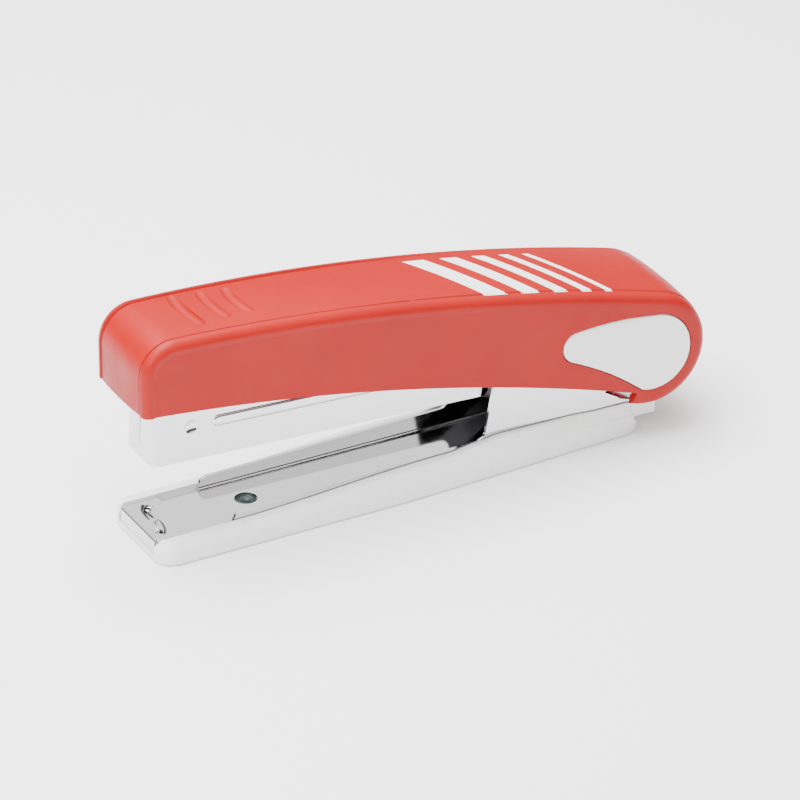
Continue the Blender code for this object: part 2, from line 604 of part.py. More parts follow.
def build_rail(material, rivet_material, parent):
    """Rail inside the staples, slotted for the pusher's neck, and its two rivets."""
    item = make_object("staple_rail", block((RAIL_FRONT, -RAIL_HALF, RAIL_LOW),
                                            (RAIL_REAR, RAIL_HALF, RAIL_TOP)), material, parent)
    inner = RAIL_HALF - RAIL_WALL
    cut(item, block((RAIL_FRONT + RAIL_END_BLOCK, -inner, RAIL_LOW - PASS),
                    (RAIL_BAY_REAR, inner, RAIL_BAY_TOP)))
    slot_front = PUSHER_FRONT - 4 * MM
    slot_rear = min(PUSHER_REAR + PUSHER_TRAVEL + 2 * MM, RAIL_BAY_REAR)
    cut(item, block((slot_front, -RAIL_SLOT_HALF, RAIL_BAY_TOP - 1 * MM),
                    (slot_rear, RAIL_SLOT_HALF, RAIL_TOP + PASS)))
    cut(item, rod((ROD_FRONT - GAP, 0, ROD_Z), (ROD_REAR + GAP, 0, ROD_Z), ROD_R + GAP, 20))
    for x, name in zip(RAIL_RIVET_X, ("rail_rivet_front", "rail_rivet_rear")):
        top = RAIL_LOW + RAIL_RIVET_RISE
        cut(item, rod((x, 0, RAIL_LOW - PASS), (x, 0, top + GAP), RAIL_RIVET_R + GAP, 20))
        make_object(name, rod((x, 0, MAG_BOTTOM + 0.1 * MM), (x, 0, top), RAIL_RIVET_R, 20),
                    rivet_material, parent)
    return item


def build_guide_rod(material, parent):
    """Rod that the pusher's spring runs on."""
    bar = rod((ROD_FRONT, 0, ROD_Z), (ROD_REAR, 0, ROD_Z), ROD_R, 20)
    return make_object("guide_rod", bar, material, parent)


def build_staples(material, parent):
    """A strip of staples astride the rail."""
    inner = STAPLE_HALF - STAPLE_WIRE
    rear = RAIL_FRONT + STRIP_LENGTH
    item = make_object("staple_strip", block((RAIL_FRONT, -STAPLE_HALF, STAPLE_LOW),
                                             (rear, STAPLE_HALF, CROWN_TOP)), material, parent)
    cut(item, block((RAIL_FRONT - PASS, -inner, STAPLE_LOW - PASS),
                    (rear + PASS, inner, CROWN_TOP - STAPLE_WIRE)))
    return item


def build_pusher(material, parent):
    """Pusher: a saddle behind the staples, joined by a neck to a block on the guide rod."""
    front = PUSHER_FRONT
    rear = PUSHER_REAR
    outer = STAPLE_HALF
    inner = outer - STAPLE_WIRE
    roof = CROWN_TOP - STAPLE_WIRE
    item = make_object("pusher", block((front, -outer, RAIL_LOW), (rear, outer, CROWN_TOP)),
                       material, parent)
    cut(item, block((front - PASS, -inner, RAIL_LOW - PASS), (rear + PASS, inner, roof)))
    tab_half = outer - PUSHER_TAB_INSET
    join(item, block((rear - PUSHER_TAB_LENGTH, -tab_half, CROWN_TOP - 0.2 * MM),
                     (rear, tab_half, CROWN_TOP + PUSHER_TAB)))
    neck = RAIL_SLOT_HALF - GAP
    under_web = RAIL_BAY_TOP - GAP
    join(item, block((front + 1.0 * MM, -neck, under_web - 0.4 * MM),
                     (rear - 0.5 * MM, neck, roof + 0.2 * MM)))
    block_half = RAIL_HALF - RAIL_WALL - GAP
    join(item, block((front + 0.5 * MM, -block_half, RAIL_LOW),
                     (rear - 0.2 * MM, block_half, under_web)))
    cut(item, rod((front - PASS, 0, ROD_Z), (rear + PASS, 0, ROD_Z), ROD_R + GAP, 20))
    return item


def build_pusher_spring(material, parent):
    """Coil spring around the guide rod, between the pusher and the rail's rear block."""
    start = PUSHER_REAR + GAP
    end = RAIL_BAY_REAR - GAP
    ring_steps = 6
    coil_steps = 11
    data = bmesh.new()
    rings = []
    count = COIL_TURNS * coil_steps
    length = end - start - 2 * COIL_WIRE_R
    for i in range(count + 1):
        angle = math.tau * i / coil_steps
        out = Vector((0.0, math.cos(angle), math.sin(angle)))
        centre = Vector((start + COIL_WIRE_R + length * i / count, 0.0, ROD_Z)) + out * COIL_R
        ring = []
        for k in range(ring_steps):
            turn = math.tau * k / ring_steps
            offset = out * math.cos(turn) + Vector((math.sin(turn), 0.0, 0.0))
            ring.append(data.verts.new(centre + offset * COIL_WIRE_R))
        rings.append(ring)
    for ring, following in zip(rings, rings[1:]):
        for k in range(ring_steps):
            after = (k + 1) % ring_steps
            data.faces.new((ring[k], ring[after], following[after], following[k]))
    data.faces.new(rings[0][::-1])
    data.faces.new(rings[-1])
    return make_object("pusher_spring", data, material, parent)


def build_spacer(material, parent):
    """Tube on the hinge pin that keeps the magazine's walls apart."""
    half = MAG_HALF - MAG_WALL - GAP
    profile = [(PIN_R + GAP, -half), (SPACER_R, -half), (SPACER_R, half), (PIN_R + GAP, half)]
    return make_object("hinge_spacer", turned(profile, (0, 0, 0), (0, 1, 0), hollow=True), material, parent)


# ================================================================ lever and driver, hinge frame
def web_point(along, above):
    """A point measured along the lever's web from the hinge, and away from the web's underside."""
    x = along * math.cos(LEVER_SLOPE) + (LEVER_CLEAR + above) * math.sin(LEVER_SLOPE)
    z = -along * math.sin(LEVER_SLOPE) + (LEVER_CLEAR + above) * math.cos(LEVER_SLOPE)
    return (x, z)


def driver_turn():
    """Turn that brings the driver upright to the magazine at half its stroke."""
    return MAG_TILT + DRIVER_STROKE / 2


def lever_front():
    """Where the web ends, just behind the driver blade."""
    reach = DRIVER_FRONT + DRIVER_T + GAP
    lift = LEVER_SLOPE - driver_turn()
    return reach / math.cos(lift)


def lever_side():
    """Side outline of the lever: web and flanges, and a round eye at the hinge."""
    eye = LEVER_CLEAR + LEVER_SHEET
    top_angle = math.pi / 2 - LEVER_SLOPE
    points = [web_point(lever_front(), LEVER_SHEET)]
    points += arc((0.0, 0.0), eye, top_angle, math.radians(-130), 18)
    points += [web_point(-28 * MM, -LEVER_FLANGE_REAR), web_point(-48 * MM, -LEVER_FLANGE),
               web_point(lever_front() + 4 * MM, -LEVER_FLANGE_FRONT),
               web_point(lever_front(), -LEVER_FLANGE_FRONT + 4 * MM)]
    return points


def build_lever(material, parent):
    """Pressed steel lever: an inverted channel that bridges the hinge and the driver."""
    item = make_object("driver_lever", prism(lever_side(), -LEVER_HALF, LEVER_HALF),
                       material, parent)
    inner = LEVER_HALF - LEVER_SHEET
    room = [web_point(lever_front() - PASS, 0.0), web_point(LEVER_WEB_REAR, 0.0),
            web_point(LEVER_WEB_REAR, LEVER_SHEET + PASS), web_point(PASS * 5, LEVER_SHEET + PASS),
            web_point(PASS * 5, -PASS * 7), web_point(lever_front() - PASS, -PASS * 4)]
    cut(item, prism(room, -inner, inner))
    cut(item, hinge_ring(PIN_R + GAP, LEVER_HALF + PASS))
    tab_rear = DRIVER_FRONT + DRIVER_T + GAP + LEVER_SHEET
    low = web_level_at_driver()
    tab = block((tab_rear - LEVER_SHEET, -TAB_HALF, low),
                (tab_rear, TAB_HALF, low + TAB_RISE))
    bmesh.ops.rotate(tab, matrix=Matrix.Rotation(driver_turn(), 3, "Y"), verts=tab.verts[:])
    join(item, tab)
    for side in (-1, 1):
        hole = rod((DRIVER_FRONT - PASS, side * DRIVER_RIVET_Y, driver_rivet_level()),
                   (DRIVER_FRONT + PASS, side * DRIVER_RIVET_Y, driver_rivet_level()),
                   DRIVER_RIVET_R + GAP, 20)
        bmesh.ops.rotate(hole, matrix=Matrix.Rotation(driver_turn(), 3, "Y"), verts=hole.verts[:])
        cut(item, hole)
    for x in SCREW_X:
        cut(item, rod(*screw_line(x, -PASS / 2, PASS / 2), SCREW_R + GAP, 20))
    cut(item, rod(*screw_line(LIFT_RIVET_X, -PASS / 2, PASS / 2), RETURN_RIVET_R + GAP, 20))
    return item


def web_level_at_driver():
    """Height of the web's underside at the driver, in the driver's own frame."""
    x, z = web_point(lever_front(), 0.0)
    turn = driver_turn()
    return x * math.sin(turn) + z * math.cos(turn)


def driver_rivet_level():
    """Height of the driver's rivets in the driver's own frame."""
    return web_level_at_driver() + LEVER_SHEET + (TAB_RISE - LEVER_SHEET) * 0.55


def screw_line(x, low, high):
    """Two points square to the web, below and above its underside, at a place on the base."""
    along = (x - HINGE_X - LEVER_CLEAR * math.sin(LEVER_SLOPE)) / math.cos(LEVER_SLOPE)
    start = web_point(along, low)
    end = web_point(along, high)
    return (start[0], 0.0, start[1]), (end[0], 0.0, end[1])


def build_driver(blade_material, rivet_material, parent):
    """Driver blade that pushes one staple out, and the rivets that hold it to the lever."""
    tip = MAG_BOTTOM + DRIVER_REST + DRIVER_FRONT * math.sin(DRIVER_STROKE / 2)
    top = web_level_at_driver() + TAB_RISE
    item = make_object("driver_blade", block((DRIVER_FRONT, -DRIVER_HALF, tip),
                                             (DRIVER_FRONT + DRIVER_T, DRIVER_HALF, top)),
                       blade_material, parent)
    level = driver_rivet_level()
    names = ("driver_rivet_right", "driver_rivet_left")
    for name, side in zip(names, (-1, 1)):
        y = side * DRIVER_RIVET_Y
        cut(item, rod((DRIVER_FRONT - PASS, y, level), (DRIVER_FRONT + PASS, y, level),
                      DRIVER_RIVET_R + GAP, 20))
        head = DRIVER_FRONT - GAP
        end = DRIVER_FRONT + DRIVER_T + GAP + LEVER_SHEET
        length = DRIVER_RIVET_HEAD_T + end - head
        profile = [(0.0, 0.0), (DRIVER_RIVET_HEAD_R * 0.7, 0.0),
                   (DRIVER_RIVET_HEAD_R, DRIVER_RIVET_HEAD_T * 0.6),
                   (DRIVER_RIVET_HEAD_R, DRIVER_RIVET_HEAD_T),
                   (DRIVER_RIVET_R, DRIVER_RIVET_HEAD_T), (DRIVER_RIVET_R, length), (0.0, length)]
        place = (head - DRIVER_RIVET_HEAD_T, y, level)
        make_object(name, turned(profile, place, (1, 0, 0), 20), rivet_material, parent)


def build_lift_leaf(leaf_material, rivet_material, parent):
    """Leaf spring between the lever and the magazine, and its rivet."""
    half_t = LEAF_SHEET / 2
    rivet_along = (LIFT_RIVET_X - HINGE_X) / math.cos(LEVER_SLOPE)
    flat_end = rivet_along - RIVET_HEAD_R - GAP
    line = [web_point(rivet_along + RIVET_HEAD_R + GAP, -GAP - half_t),
            web_point(flat_end, -GAP - half_t)]
    tip_x = LIFT_LEAF_TIP - HINGE_X
    tip_z = -tip_x * math.tan(MAG_TILT) + MAG_TOP / math.cos(MAG_TILT) + GAP + half_t
    start = line[-1]
    steps = 10
    for i in range(1, steps + 1):
        share = i / steps
        x = start[0] + (tip_x - start[0]) * share
        z_line = start[1] - (x - start[0]) * math.tan(LEVER_SLOPE)
        drop = share * share * (3 - 2 * share)
        line.append((x, z_line + (tip_z - z_line) * drop))
    item = make_object("lift_leaf", strip(line, LEAF_SHEET, LIFT_LEAF_HALF), leaf_material, parent)
    cut(item, rod(*screw_line(LIFT_RIVET_X, -PASS / 2, PASS / 2), RETURN_RIVET_R + GAP, 20))
    start, end = screw_line(LIFT_RIVET_X, -2 * GAP - LEAF_SHEET - RIVET_HEAD_T, LEVER_SHEET)
    axis = Vector(end) - Vector(start)
    profile = [(0.0, 0.0), (RIVET_HEAD_R * 0.8, 0.0), (RIVET_HEAD_R, RIVET_HEAD_T),
               (RETURN_RIVET_R, RIVET_HEAD_T), (RETURN_RIVET_R, axis.length), (0.0, axis.length)]
    make_object("lift_leaf_rivet", turned(profile, start, axis.normalized(), 24),
                rivet_material, parent)


# ================================================================ cover, hinge frame
def above_web(reach, rise):
    """A point above the lever's web, or below it, at a distance in front of the hinge."""
    return (-reach, LEVER_CLEAR + reach * math.tan(LEVER_SLOPE) + rise)


def rear_point(angle, radius=COVER_REAR_R):
    """A point on the cover's round rear end."""
    return (radius * math.cos(angle), radius * math.sin(angle))


def nose_top():
    """Where the cover's nose runs into its top."""
    height = above_web(MAG_REACH, COVER_RISE_FRONT)[1]
    return (COVER_FRONT - HINGE_X + COVER_NOSE_R, height)


def top_curve():
    """Three points of the cover's arched top, from the nose to the round rear end."""
    middle = above_web(COVER_TOP_MID_REACH, COVER_RISE_MID)
    return nose_top(), middle, rear_point(COVER_TOP_ANGLE)


def cover_outline(inset=0.0):
    """Side outline of the cover, or of the space inside it when given a wall thickness."""
    top = arc_through(*top_curve(), 18, grow=-inset)
    nose_centre = (nose_top()[0], nose_top()[1] - COVER_NOSE_R)
    nose = arc(nose_centre, COVER_NOSE_R - inset, math.pi, math.pi / 2, 8)
    lip = COVER_LIP_ANGLE if inset else COVER_BOTTOM_ANGLE - math.tau
    round_end = arc((0.0, 0.0), COVER_REAR_R - inset, COVER_TOP_ANGLE, lip, 22)
    return nose[:-1] + top[:-1] + round_end


def build_cover(material, parent):
    """Arched cover shell, open underneath, with screw bosses inside and a recess for each inset."""
    bottom_front = (COVER_FRONT - HINGE_X, above_web(MAG_REACH, -COVER_DROP_FRONT)[1])
    bottom_middle = above_web(COVER_BOTTOM_MID_REACH, -COVER_DROP_MID)
    lower = arc_through(rear_point(COVER_BOTTOM_ANGLE), bottom_middle, bottom_front, 14)
    outline = cover_outline() + lower[1:]
    shell = prism(outline, -COVER_REAR_HALF, COVER_REAR_HALF)
    round_count = len(outline) - len(lower) + 1
    shell.verts.ensure_lookup_table()
    rounded = [edge for edge in shell.edges if is_rounded(edge, outline, round_count)]
    bmesh.ops.bevel(shell, geom=rounded, offset=COVER_EDGE_R, offset_type="OFFSET", segments=3,
                    profile=0.5, affect="EDGES", material=-1, clamp_overlap=True)
    item = make_object("cover_shell", taper(shell), material, parent)
    inner = cover_outline(COVER_WALL)
    lip_out = (COVER_REAR_R + PASS) / (COVER_REAR_R - COVER_WALL)
    low = min(z for _, z in lower) - PASS
    inner += [(inner[-1][0] * lip_out, inner[-1][1] * lip_out), (inner[-1][0] * lip_out, low),
              (inner[0][0], low)]
    inner_half = COVER_REAR_HALF - COVER_WALL
    cut(item, taper(prism(inner, -inner_half, inner_half)))
    for x in SCREW_X:
        boss_top = boss_height(x)
        join(item, rod(*screw_line(x, LEVER_SHEET + GAP, boss_top), BOSS_R, 24))
        cut(item, rod(*screw_line(x, -PASS, LEVER_SHEET + GAP + SCREW_DEPTH), SCREW_R + GAP, 20))
    for side in (-1, 1):
        floor = COVER_REAR_HALF - INSET_T + INSET_PROUD - GAP
        y_in, y_out = sorted((side * floor, side * (COVER_REAR_HALF + PASS)))
        cut(item, taper(prism(inset_outline(GAP), y_in, y_out)))
    return item


def is_rounded(edge, outline, count):
    """Whether an edge of the cover's prism runs along its rounded upper outline."""
    start, end = edge.verts
    if abs(start.co.y - end.co.y) > MERGE:
        return False
    half = len(outline)
    first = start.index % half
    second = end.index % half
    return abs(first - second) == 1 and max(first, second) < count


def boss_height(x):
    """How far a screw boss must rise from the web to bury its end in the cover's top wall."""
    centre, radius = circle_through(*top_curve())
    start, _ = screw_line(x, 0.0, 1.0)
    across = start[0] - centre[0]
    top = centre[1] + math.sqrt(radius * radius - across * across)
    return (top - start[2]) * math.cos(LEVER_SLOPE) - COVER_WALL * 0.4


def build_cover_screws(material, parent):
    """Screws that hold the cover down on the lever."""
    for name, x in zip(("cover_screw_front", "cover_screw_rear"), SCREW_X):
        start, end = screw_line(x, -GAP - SCREW_HEAD_T, LEVER_SHEET + SCREW_DEPTH - GAP)
        axis = Vector(end) - Vector(start)
        profile = [(0.0, 0.0), (SCREW_HEAD_R * 0.75, 0.0), (SCREW_HEAD_R, SCREW_HEAD_T * 0.6),
                   (SCREW_HEAD_R, SCREW_HEAD_T), (SCREW_R, SCREW_HEAD_T),
                   (SCREW_R, axis.length), (0.0, axis.length)]
        make_object(name, turned(profile, start, axis.normalized(), 24), material, parent)


def bowed(start, end, bow, direction, steps=8):
    """Points between two ends, bowed sideways by a distance in a direction."""
    points = []
    for i in range(1, steps):
        share = i / steps
        lift = math.sin(math.pi * share) * bow
        points.append((start[0] + (end[0] - start[0]) * share + lift * math.cos(direction),
                       start[1] + (end[1] - start[1]) * share + lift * math.sin(direction)))
    return points


def inset_outline(grow=0.0):
    """Teardrop outline around the hinge: two rounds joined by a bulging and a hollow side."""
    small = INSET_TIP_R + grow
    large = INSET_R + grow
    span = math.hypot(*INSET_TIP)
    lean = math.atan2(INSET_TIP[1], INSET_TIP[0])
    spread = math.acos((INSET_R - INSET_TIP_R) / span)
    upper = lean - spread
    lower = lean + spread
    big_end = arc((0.0, 0.0), large, upper, lower - math.tau + math.radians(16), 22)
    small_end = arc(INSET_TIP, small, lower - math.radians(3), upper + math.radians(6), 10)
    hollow = bowed(big_end[-1], small_end[0], INSET_HOLLOW, lower + math.pi)
    bulge = bowed(small_end[-1], big_end[0], INSET_BULGE, upper)
    return big_end + hollow + small_end + bulge


def build_insets(material, parent):
    """Teardrop insets that close the cover's sides over the hinge."""
    for name, side in (("inset_right", -1), ("inset_left", 1)):
        outer = COVER_REAR_HALF + INSET_PROUD
        floor = outer - INSET_T
        y_low, y_high = sorted((side * floor, side * outer))
        data = prism(inset_outline(), y_low, y_high)
        rim = [edge for edge in data.edges
               if all(abs(vert.co.y - side * outer) < MERGE for vert in edge.verts)]
        bmesh.ops.bevel(data, geom=rim, offset=INSET_EDGE_R, offset_type="OFFSET", segments=2,
                        profile=0.5, affect="EDGES", material=-1, clamp_overlap=True)
        make_object(name, taper(data), material, parent)


# ================================================================ assembly
def main():
    clear_scene()
    red = make_material("red_plastic", (0.56, 0.055, 0.035), 0.38)
    white = make_material("white_plastic", (0.82, 0.81, 0.79), 0.28)
    chrome = make_material("chrome", (0.78, 0.78, 0.78), 0.12, 1.0)
    steel = make_material("spring_steel", (0.42, 0.42, 0.43), 0.35, 1.0)
    zinc = make_material("zinc_plate", (0.55, 0.55, 0.54), 0.38, 1.0)
    dark = make_material("dark_rivet", (0.05, 0.07, 0.06), 0.4, 1.0)
    staple = make_material("staple_wire", (0.66, 0.66, 0.68), 0.22, 1.0)
    black = make_material("black_plastic", (0.03, 0.03, 0.035), 0.45)

    build_shoe(white)
    build_channel(chrome)
    build_shoe_rivets(dark)
    build_hinge_pin(zinc, steel)
    build_return_leaf(steel, zinc)
    build_anvil(chrome)

    hinge = (HINGE_X, 0.0, HINGE_Z)
    magazine_axis = make_empty("magazine_axis", hinge, MAG_TILT)
    build_magazine(chrome, magazine_axis)
    build_rail(zinc, dark, magazine_axis)
    build_guide_rod(steel, magazine_axis)
    build_staples(staple, magazine_axis)
    build_pusher(black, magazine_axis)
    build_pusher_spring(steel, magazine_axis)
    build_spacer(zinc, magazine_axis)

    cover_axis = make_empty("cover_axis", hinge)
    driver_axis = make_empty("driver_axis", (0.0, 0.0, 0.0), driver_turn(), cover_axis)
    build_lever(zinc, cover_axis)
    build_driver(steel, zinc, driver_axis)
    build_lift_leaf(steel, zinc, cover_axis)
    build_cover(red, cover_axis)
    build_cover_screws(zinc, cover_axis)
    build_insets(white, cover_axis)


main()
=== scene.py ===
import json
import math

import bmesh
import bpy
from mathutils import Matrix, Vector

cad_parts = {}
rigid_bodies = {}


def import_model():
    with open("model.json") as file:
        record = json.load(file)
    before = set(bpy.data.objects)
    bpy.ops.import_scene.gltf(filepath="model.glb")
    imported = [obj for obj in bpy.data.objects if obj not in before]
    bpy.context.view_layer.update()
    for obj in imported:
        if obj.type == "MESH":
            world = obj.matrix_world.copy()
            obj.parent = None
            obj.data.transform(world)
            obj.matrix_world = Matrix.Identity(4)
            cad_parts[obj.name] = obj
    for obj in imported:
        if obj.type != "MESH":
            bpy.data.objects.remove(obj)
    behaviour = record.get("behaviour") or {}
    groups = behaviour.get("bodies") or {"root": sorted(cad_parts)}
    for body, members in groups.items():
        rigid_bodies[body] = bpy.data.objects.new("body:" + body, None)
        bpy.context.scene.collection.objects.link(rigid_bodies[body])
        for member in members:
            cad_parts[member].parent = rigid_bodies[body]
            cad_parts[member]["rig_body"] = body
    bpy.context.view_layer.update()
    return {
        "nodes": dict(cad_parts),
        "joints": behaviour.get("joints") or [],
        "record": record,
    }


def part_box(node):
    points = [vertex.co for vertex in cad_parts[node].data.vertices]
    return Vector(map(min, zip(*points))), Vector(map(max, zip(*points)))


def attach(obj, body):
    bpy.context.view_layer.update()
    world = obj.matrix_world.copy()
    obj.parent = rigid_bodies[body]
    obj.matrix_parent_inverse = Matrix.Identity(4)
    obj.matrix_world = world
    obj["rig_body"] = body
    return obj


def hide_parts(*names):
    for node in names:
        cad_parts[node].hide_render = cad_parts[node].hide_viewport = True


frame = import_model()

bl_info = {
    "name": "Desk Stapler",
    "version": (1, 0, 0),
    "blender": (4, 5, 0),
    "location": "3D View > Sidebar > Stapler",
    "description": "Builds the visible pieces of a desk stapler around its packed frame",
    "category": "Add Mesh",
}

MM = 0.001
MERGE = 1e-7                # points closer than this are one point
JOINTS = {joint["name"]: joint for joint in frame["joints"]}
HINGE = Vector(JOINTS["cover_hinge"]["pos_m"])
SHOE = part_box("base_shoe")
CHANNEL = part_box("base_channel")
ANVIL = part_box("anvil_saddle")
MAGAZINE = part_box("magazine_channel")
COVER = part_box("cover_shell")
SOLE_RIVETS = ("shoe_rivet_front", "shoe_rivet_rear")

GAP = 0.3 * MM              # between two pieces that touch
PASS = 5.0 * MM             # how far a cutter runs past the face it cuts

# ---- the cover's side view, measured from the hinge
COVER_R = 16.2 * MM                 # round rear end
NOSE_R = 9.8 * MM
NOSE_X = COVER[0].x - HINGE.x
NOSE_TOP = 38.1 * MM
TOP_MIDDLE = (-82.1 * MM, 33.5 * MM)
TOP_END = math.radians(74.8)        # where the top runs into the round rear end
LOW_FRONT = 17.8 * MM
LOW_MIDDLE = (-76.3 * MM, 8.0 * MM)
LOW_END = math.radians(-113.0)      # where the lower edge runs into the round rear end
LIP_END = math.radians(-60.0)       # where the rear wall stops, underneath
COVER_HALF_REAR = COVER[1].y
COVER_HALF_FRONT = 14.2 * MM
BEAD_END = -8.0 * MM                # behind this the bead has faded out
BEAD_FADE = 95.0 * MM               # and it is full this far in front of that
SIDE_DRAFT = 0.30 * MM              # how far the front of the side stands in
COVER_SCREWS = ("cover_screw_front", "cover_screw_rear")
LEVER_SLOPE = math.radians(6.3)     # of the lever that the screws go through
SCREW_BOSS_R = 3.4 * MM
# each grip groove: its middle in the row frame, and half its span across the cover
GRIP_GROOVES = (((-57.0 * MM, 2.1 * MM, 65.75 * MM), 10.6 * MM),
                ((-49.1 * MM, 2.4 * MM, 65.5 * MM), 10.1 * MM),
                ((-42.2 * MM, 2.1 * MM, 65.05 * MM), 8.8 * MM))
GRIP_BOW = 1.3 * MM

# ---- the teardrop insets, measured from the hinge
INSET_R = 11.0 * MM
INSET_TIP_R = 4.4 * MM
INSET_TIP = (-23.0 * MM, 7.2 * MM)
INSET_HOLLOW = 0.9 * MM             # how far its lower side bends in
INSET_BULGE = 0.8 * MM              # how far its upper side bends out
INSET_RIM = 0.55 * MM
INSET_LEAN = 0.22                   # slope of the band above the crease
INSET_CREASE = ((-27.0 * MM, 7.0 * MM), (-16.0 * MM, 8.1 * MM), (-4.0 * MM, 7.7 * MM),
                (7.0 * MM, 7.3 * MM))

# ---- the magazine, level with the hinge
MAG_TILT = math.radians(2.7)
MAG_FRONT = -144.5 * MM
MAG_HALF = MAGAZINE[1].y
MAG_WALL = 0.7 * MM
MAG_FRONT_WALL = 0.6 * MM
DRIVER_SLOT = 1.6 * MM
MAG_LOW = -7.7 * MM
MAG_EYE_R = 7.3 * MM
MAG_SKIRT_REAR = -45.0 * MM
MAG_SKIRT_R = 2.2 * MM
MAG_REAR_LOW = -4.9 * MM
RAIL_RIVETS = ("rail_rivet_front", "rail_rivet_rear")
DIMPLE = (-133.5 * MM, 2.2 * MM)
RIB_ENDS = (-127.2 * MM, -50.0 * MM)
RIB_HEIGHTS = (0.7 * MM, 4.1 * MM)
SEAM_FOOT = -4.6 * MM
PIN_HOLE_R = 2.8 * MM

# ---- the base
PLATE_LOW = 4.0 * MM
PLATE_TOP = 5.0 * MM
CHANNEL_HALF = CHANNEL[1].y
TONGUE_HALF = 9.6 * MM
FLANGE_FRONT = -49.4 * MM
FLANGE_RISE = (3.5 * MM, 4.9 * MM)
EAR_FRONT = 26.0 * MM
EAR_LEAN = 3.2 * MM
EAR_TOP = 33.0 * MM
EAR_BOSS_R = 7.6 * MM
PLATE_FRONT = -66.2 * MM
PLATE_REAR = 78.0 * MM
FILLET = 3.0 * MM
SHOE_HALF_REAR = 11.7 * MM
SHOE_CORNER = 5.0 * MM
SHOE_TAPER_START = -5.0 * MM
SHOE_TAPER_END = SHOE[1].x - SHOE_CORNER
# heights along the sole, as (x, z): its rim, and the crease in its side
RIM_STOPS = ((FLANGE_FRONT, 6.4 * MM), (14 * MM, 9.2 * MM), (24 * MM, 10.4 * MM),
             (30 * MM, 11.0 * MM), (51 * MM, 10.7 * MM), (60 * MM, 10.1 * MM), (74 * MM, 9.9 * MM))
CREASE_STOPS = ((-60 * MM, 4.3 * MM), (0.0, 5.4 * MM), (40 * MM, 6.6 * MM), (70 * MM, 6.2 * MM))
SEAT_HALF = CHANNEL_HALF + GAP
SEAT_FRONT = ANVIL[0].x - GAP
ANVIL_SHEET = 0.8 * MM


# ================================================================ sizes and colours
def length(name, description, default):
    """A length that a user may change."""
    return bpy.props.FloatProperty(name=name, description=description, default=default,
                                   unit="LENGTH", subtype="DISTANCE", precision=5)


def colour(name, description, default):
    """A colour that a user may change."""
    return bpy.props.FloatVectorProperty(name=name, description=description, default=default,
                                         subtype="COLOR", size=3, min=0.0, max=1.0)


class StaplerSizes(bpy.types.PropertyGroup):
    """Sizes of the visible pieces."""

    cover_wall: length("Cover wall", "Thickness of the cover's moulded wall", 2.4 * MM)
    cover_edge: length("Cover edge radius", "Radius of the cover's long edges", 2.6 * MM)
    cover_crown: length("Cover crown", "How far the cover's top bulges across its width", 0.8 * MM)
    bead_width: length("Bead width", "Width of the raised bead along the cover's edge", 2.2 * MM)
    bead_height: length("Bead height", "How far the bead stands above the top", 0.6 * MM)
    grip_radius: length("Grip groove radius", "Radius of the grip grooves' round floor", 2.0 * MM)
    inset_thickness: length("Inset thickness", "Thickness of the teardrop insets", 1.7 * MM)
    inset_proud: length("Inset height", "How far the insets stand out of the cover", 0.4 * MM)
    sheet_bend: length("Sheet bend", "Outer radius of the base channel's bends", 1.5 * MM)
    sheet_edge: length("Sheet edge", "Radius of the sheet metal's tumbled edges", 0.24 * MM)
    magazine_bend: length("Magazine bend", "Outer radius of the magazine's bends", 1.6 * MM)
    dimple_ball: length("Dimple ball", "Radius of the ball that presses the dimples", 2.75 * MM)
    rib_height: length("Rib height", "How far the magazine's ribs stand out", 0.5 * MM)
    shoulder: length("Sole shoulder", "Width of the sole's sloping shoulder", 1.7 * MM)


class StaplerColours(bpy.types.PropertyGroup):
    """Colours of the visible pieces."""

    cover: colour("Cover", "Colour of the cover's plastic", (0.33, 0.003, 0.0015))
    print_ink: colour("Print", "Colour of the bars printed on the cover", (0.90, 0.90, 0.89))
    white: colour("White plastic", "Colour of the sole and the insets", (0.86, 0.86, 0.85))
    chrome: colour("Chrome", "Colour of the plated steel", (0.66, 0.66, 0.67))
    steel: colour("Spring steel", "Colour of the springs and the blade", (0.42, 0.42, 0.43))
    zinc: colour("Zinc plate", "Colour of the hidden steel pieces", (0.58, 0.58, 0.56))
    rivet: colour("Rivet", "Colour of the blackened rivets", (0.055, 0.075, 0.07))
    staple: colour("Staples", "Colour of the staple wire", (0.70, 0.70, 0.71))
    black: colour("Black plastic", "Colour of the pusher", (0.03, 0.03, 0.035))
    floor: colour("Floor", "Colour of the floor", (0.93, 0.93, 0.93))


# ================================================================ curves
def arc(centre, radius, start, end, steps):
    """Points on a circle, from one angle to another."""
    return [(centre[0] + radius * math.cos(start + (end - start) * i / steps),
             centre[1] + radius * math.sin(start + (end - start) * i / steps))
            for i in range(steps + 1)]


def arc_through(first, middle, last, steps):
    """Points on the circle through three points."""
    (ax, az), (bx, bz), (cx, cz) = first, middle, last
    d = 2 * (ax * (bz - cz) + bx * (cz - az) + cx * (az - bz))
    a2, b2, c2 = ax * ax + az * az, bx * bx + bz * bz, cx * cx + cz * cz
    x = (a2 * (bz - cz) + b2 * (cz - az) + c2 * (az - bz)) / d
    z = (a2 * (cx - bx) + b2 * (ax - cx) + c2 * (bx - ax)) / d
    radius = math.hypot(ax - x, az - z)
    start = math.atan2(az - z, ax - x)
    end = math.atan2(cz - z, cx - x)
    return arc((x, z), radius, start, end, steps)


def outward(points, closed=False):
    """Unit normals on the left of a path's direction of travel."""
    last = len(points) - 1
    normals = []
    for i in range(len(points)):
        behind = points[i - 1] if closed or i > 0 else points[0]
        ahead = points[(i + 1) % len(points)] if closed or i < last else points[last]
        along = Vector((ahead[0] - behind[0], ahead[1] - behind[1])).normalized()
        normals.append((-along.y, along.x))
    return normals


def smooth(share):
    """Ease from 0 to 1."""
    share = max(0.0, min(1.0, share))
    return share * share * (3 - 2 * share)


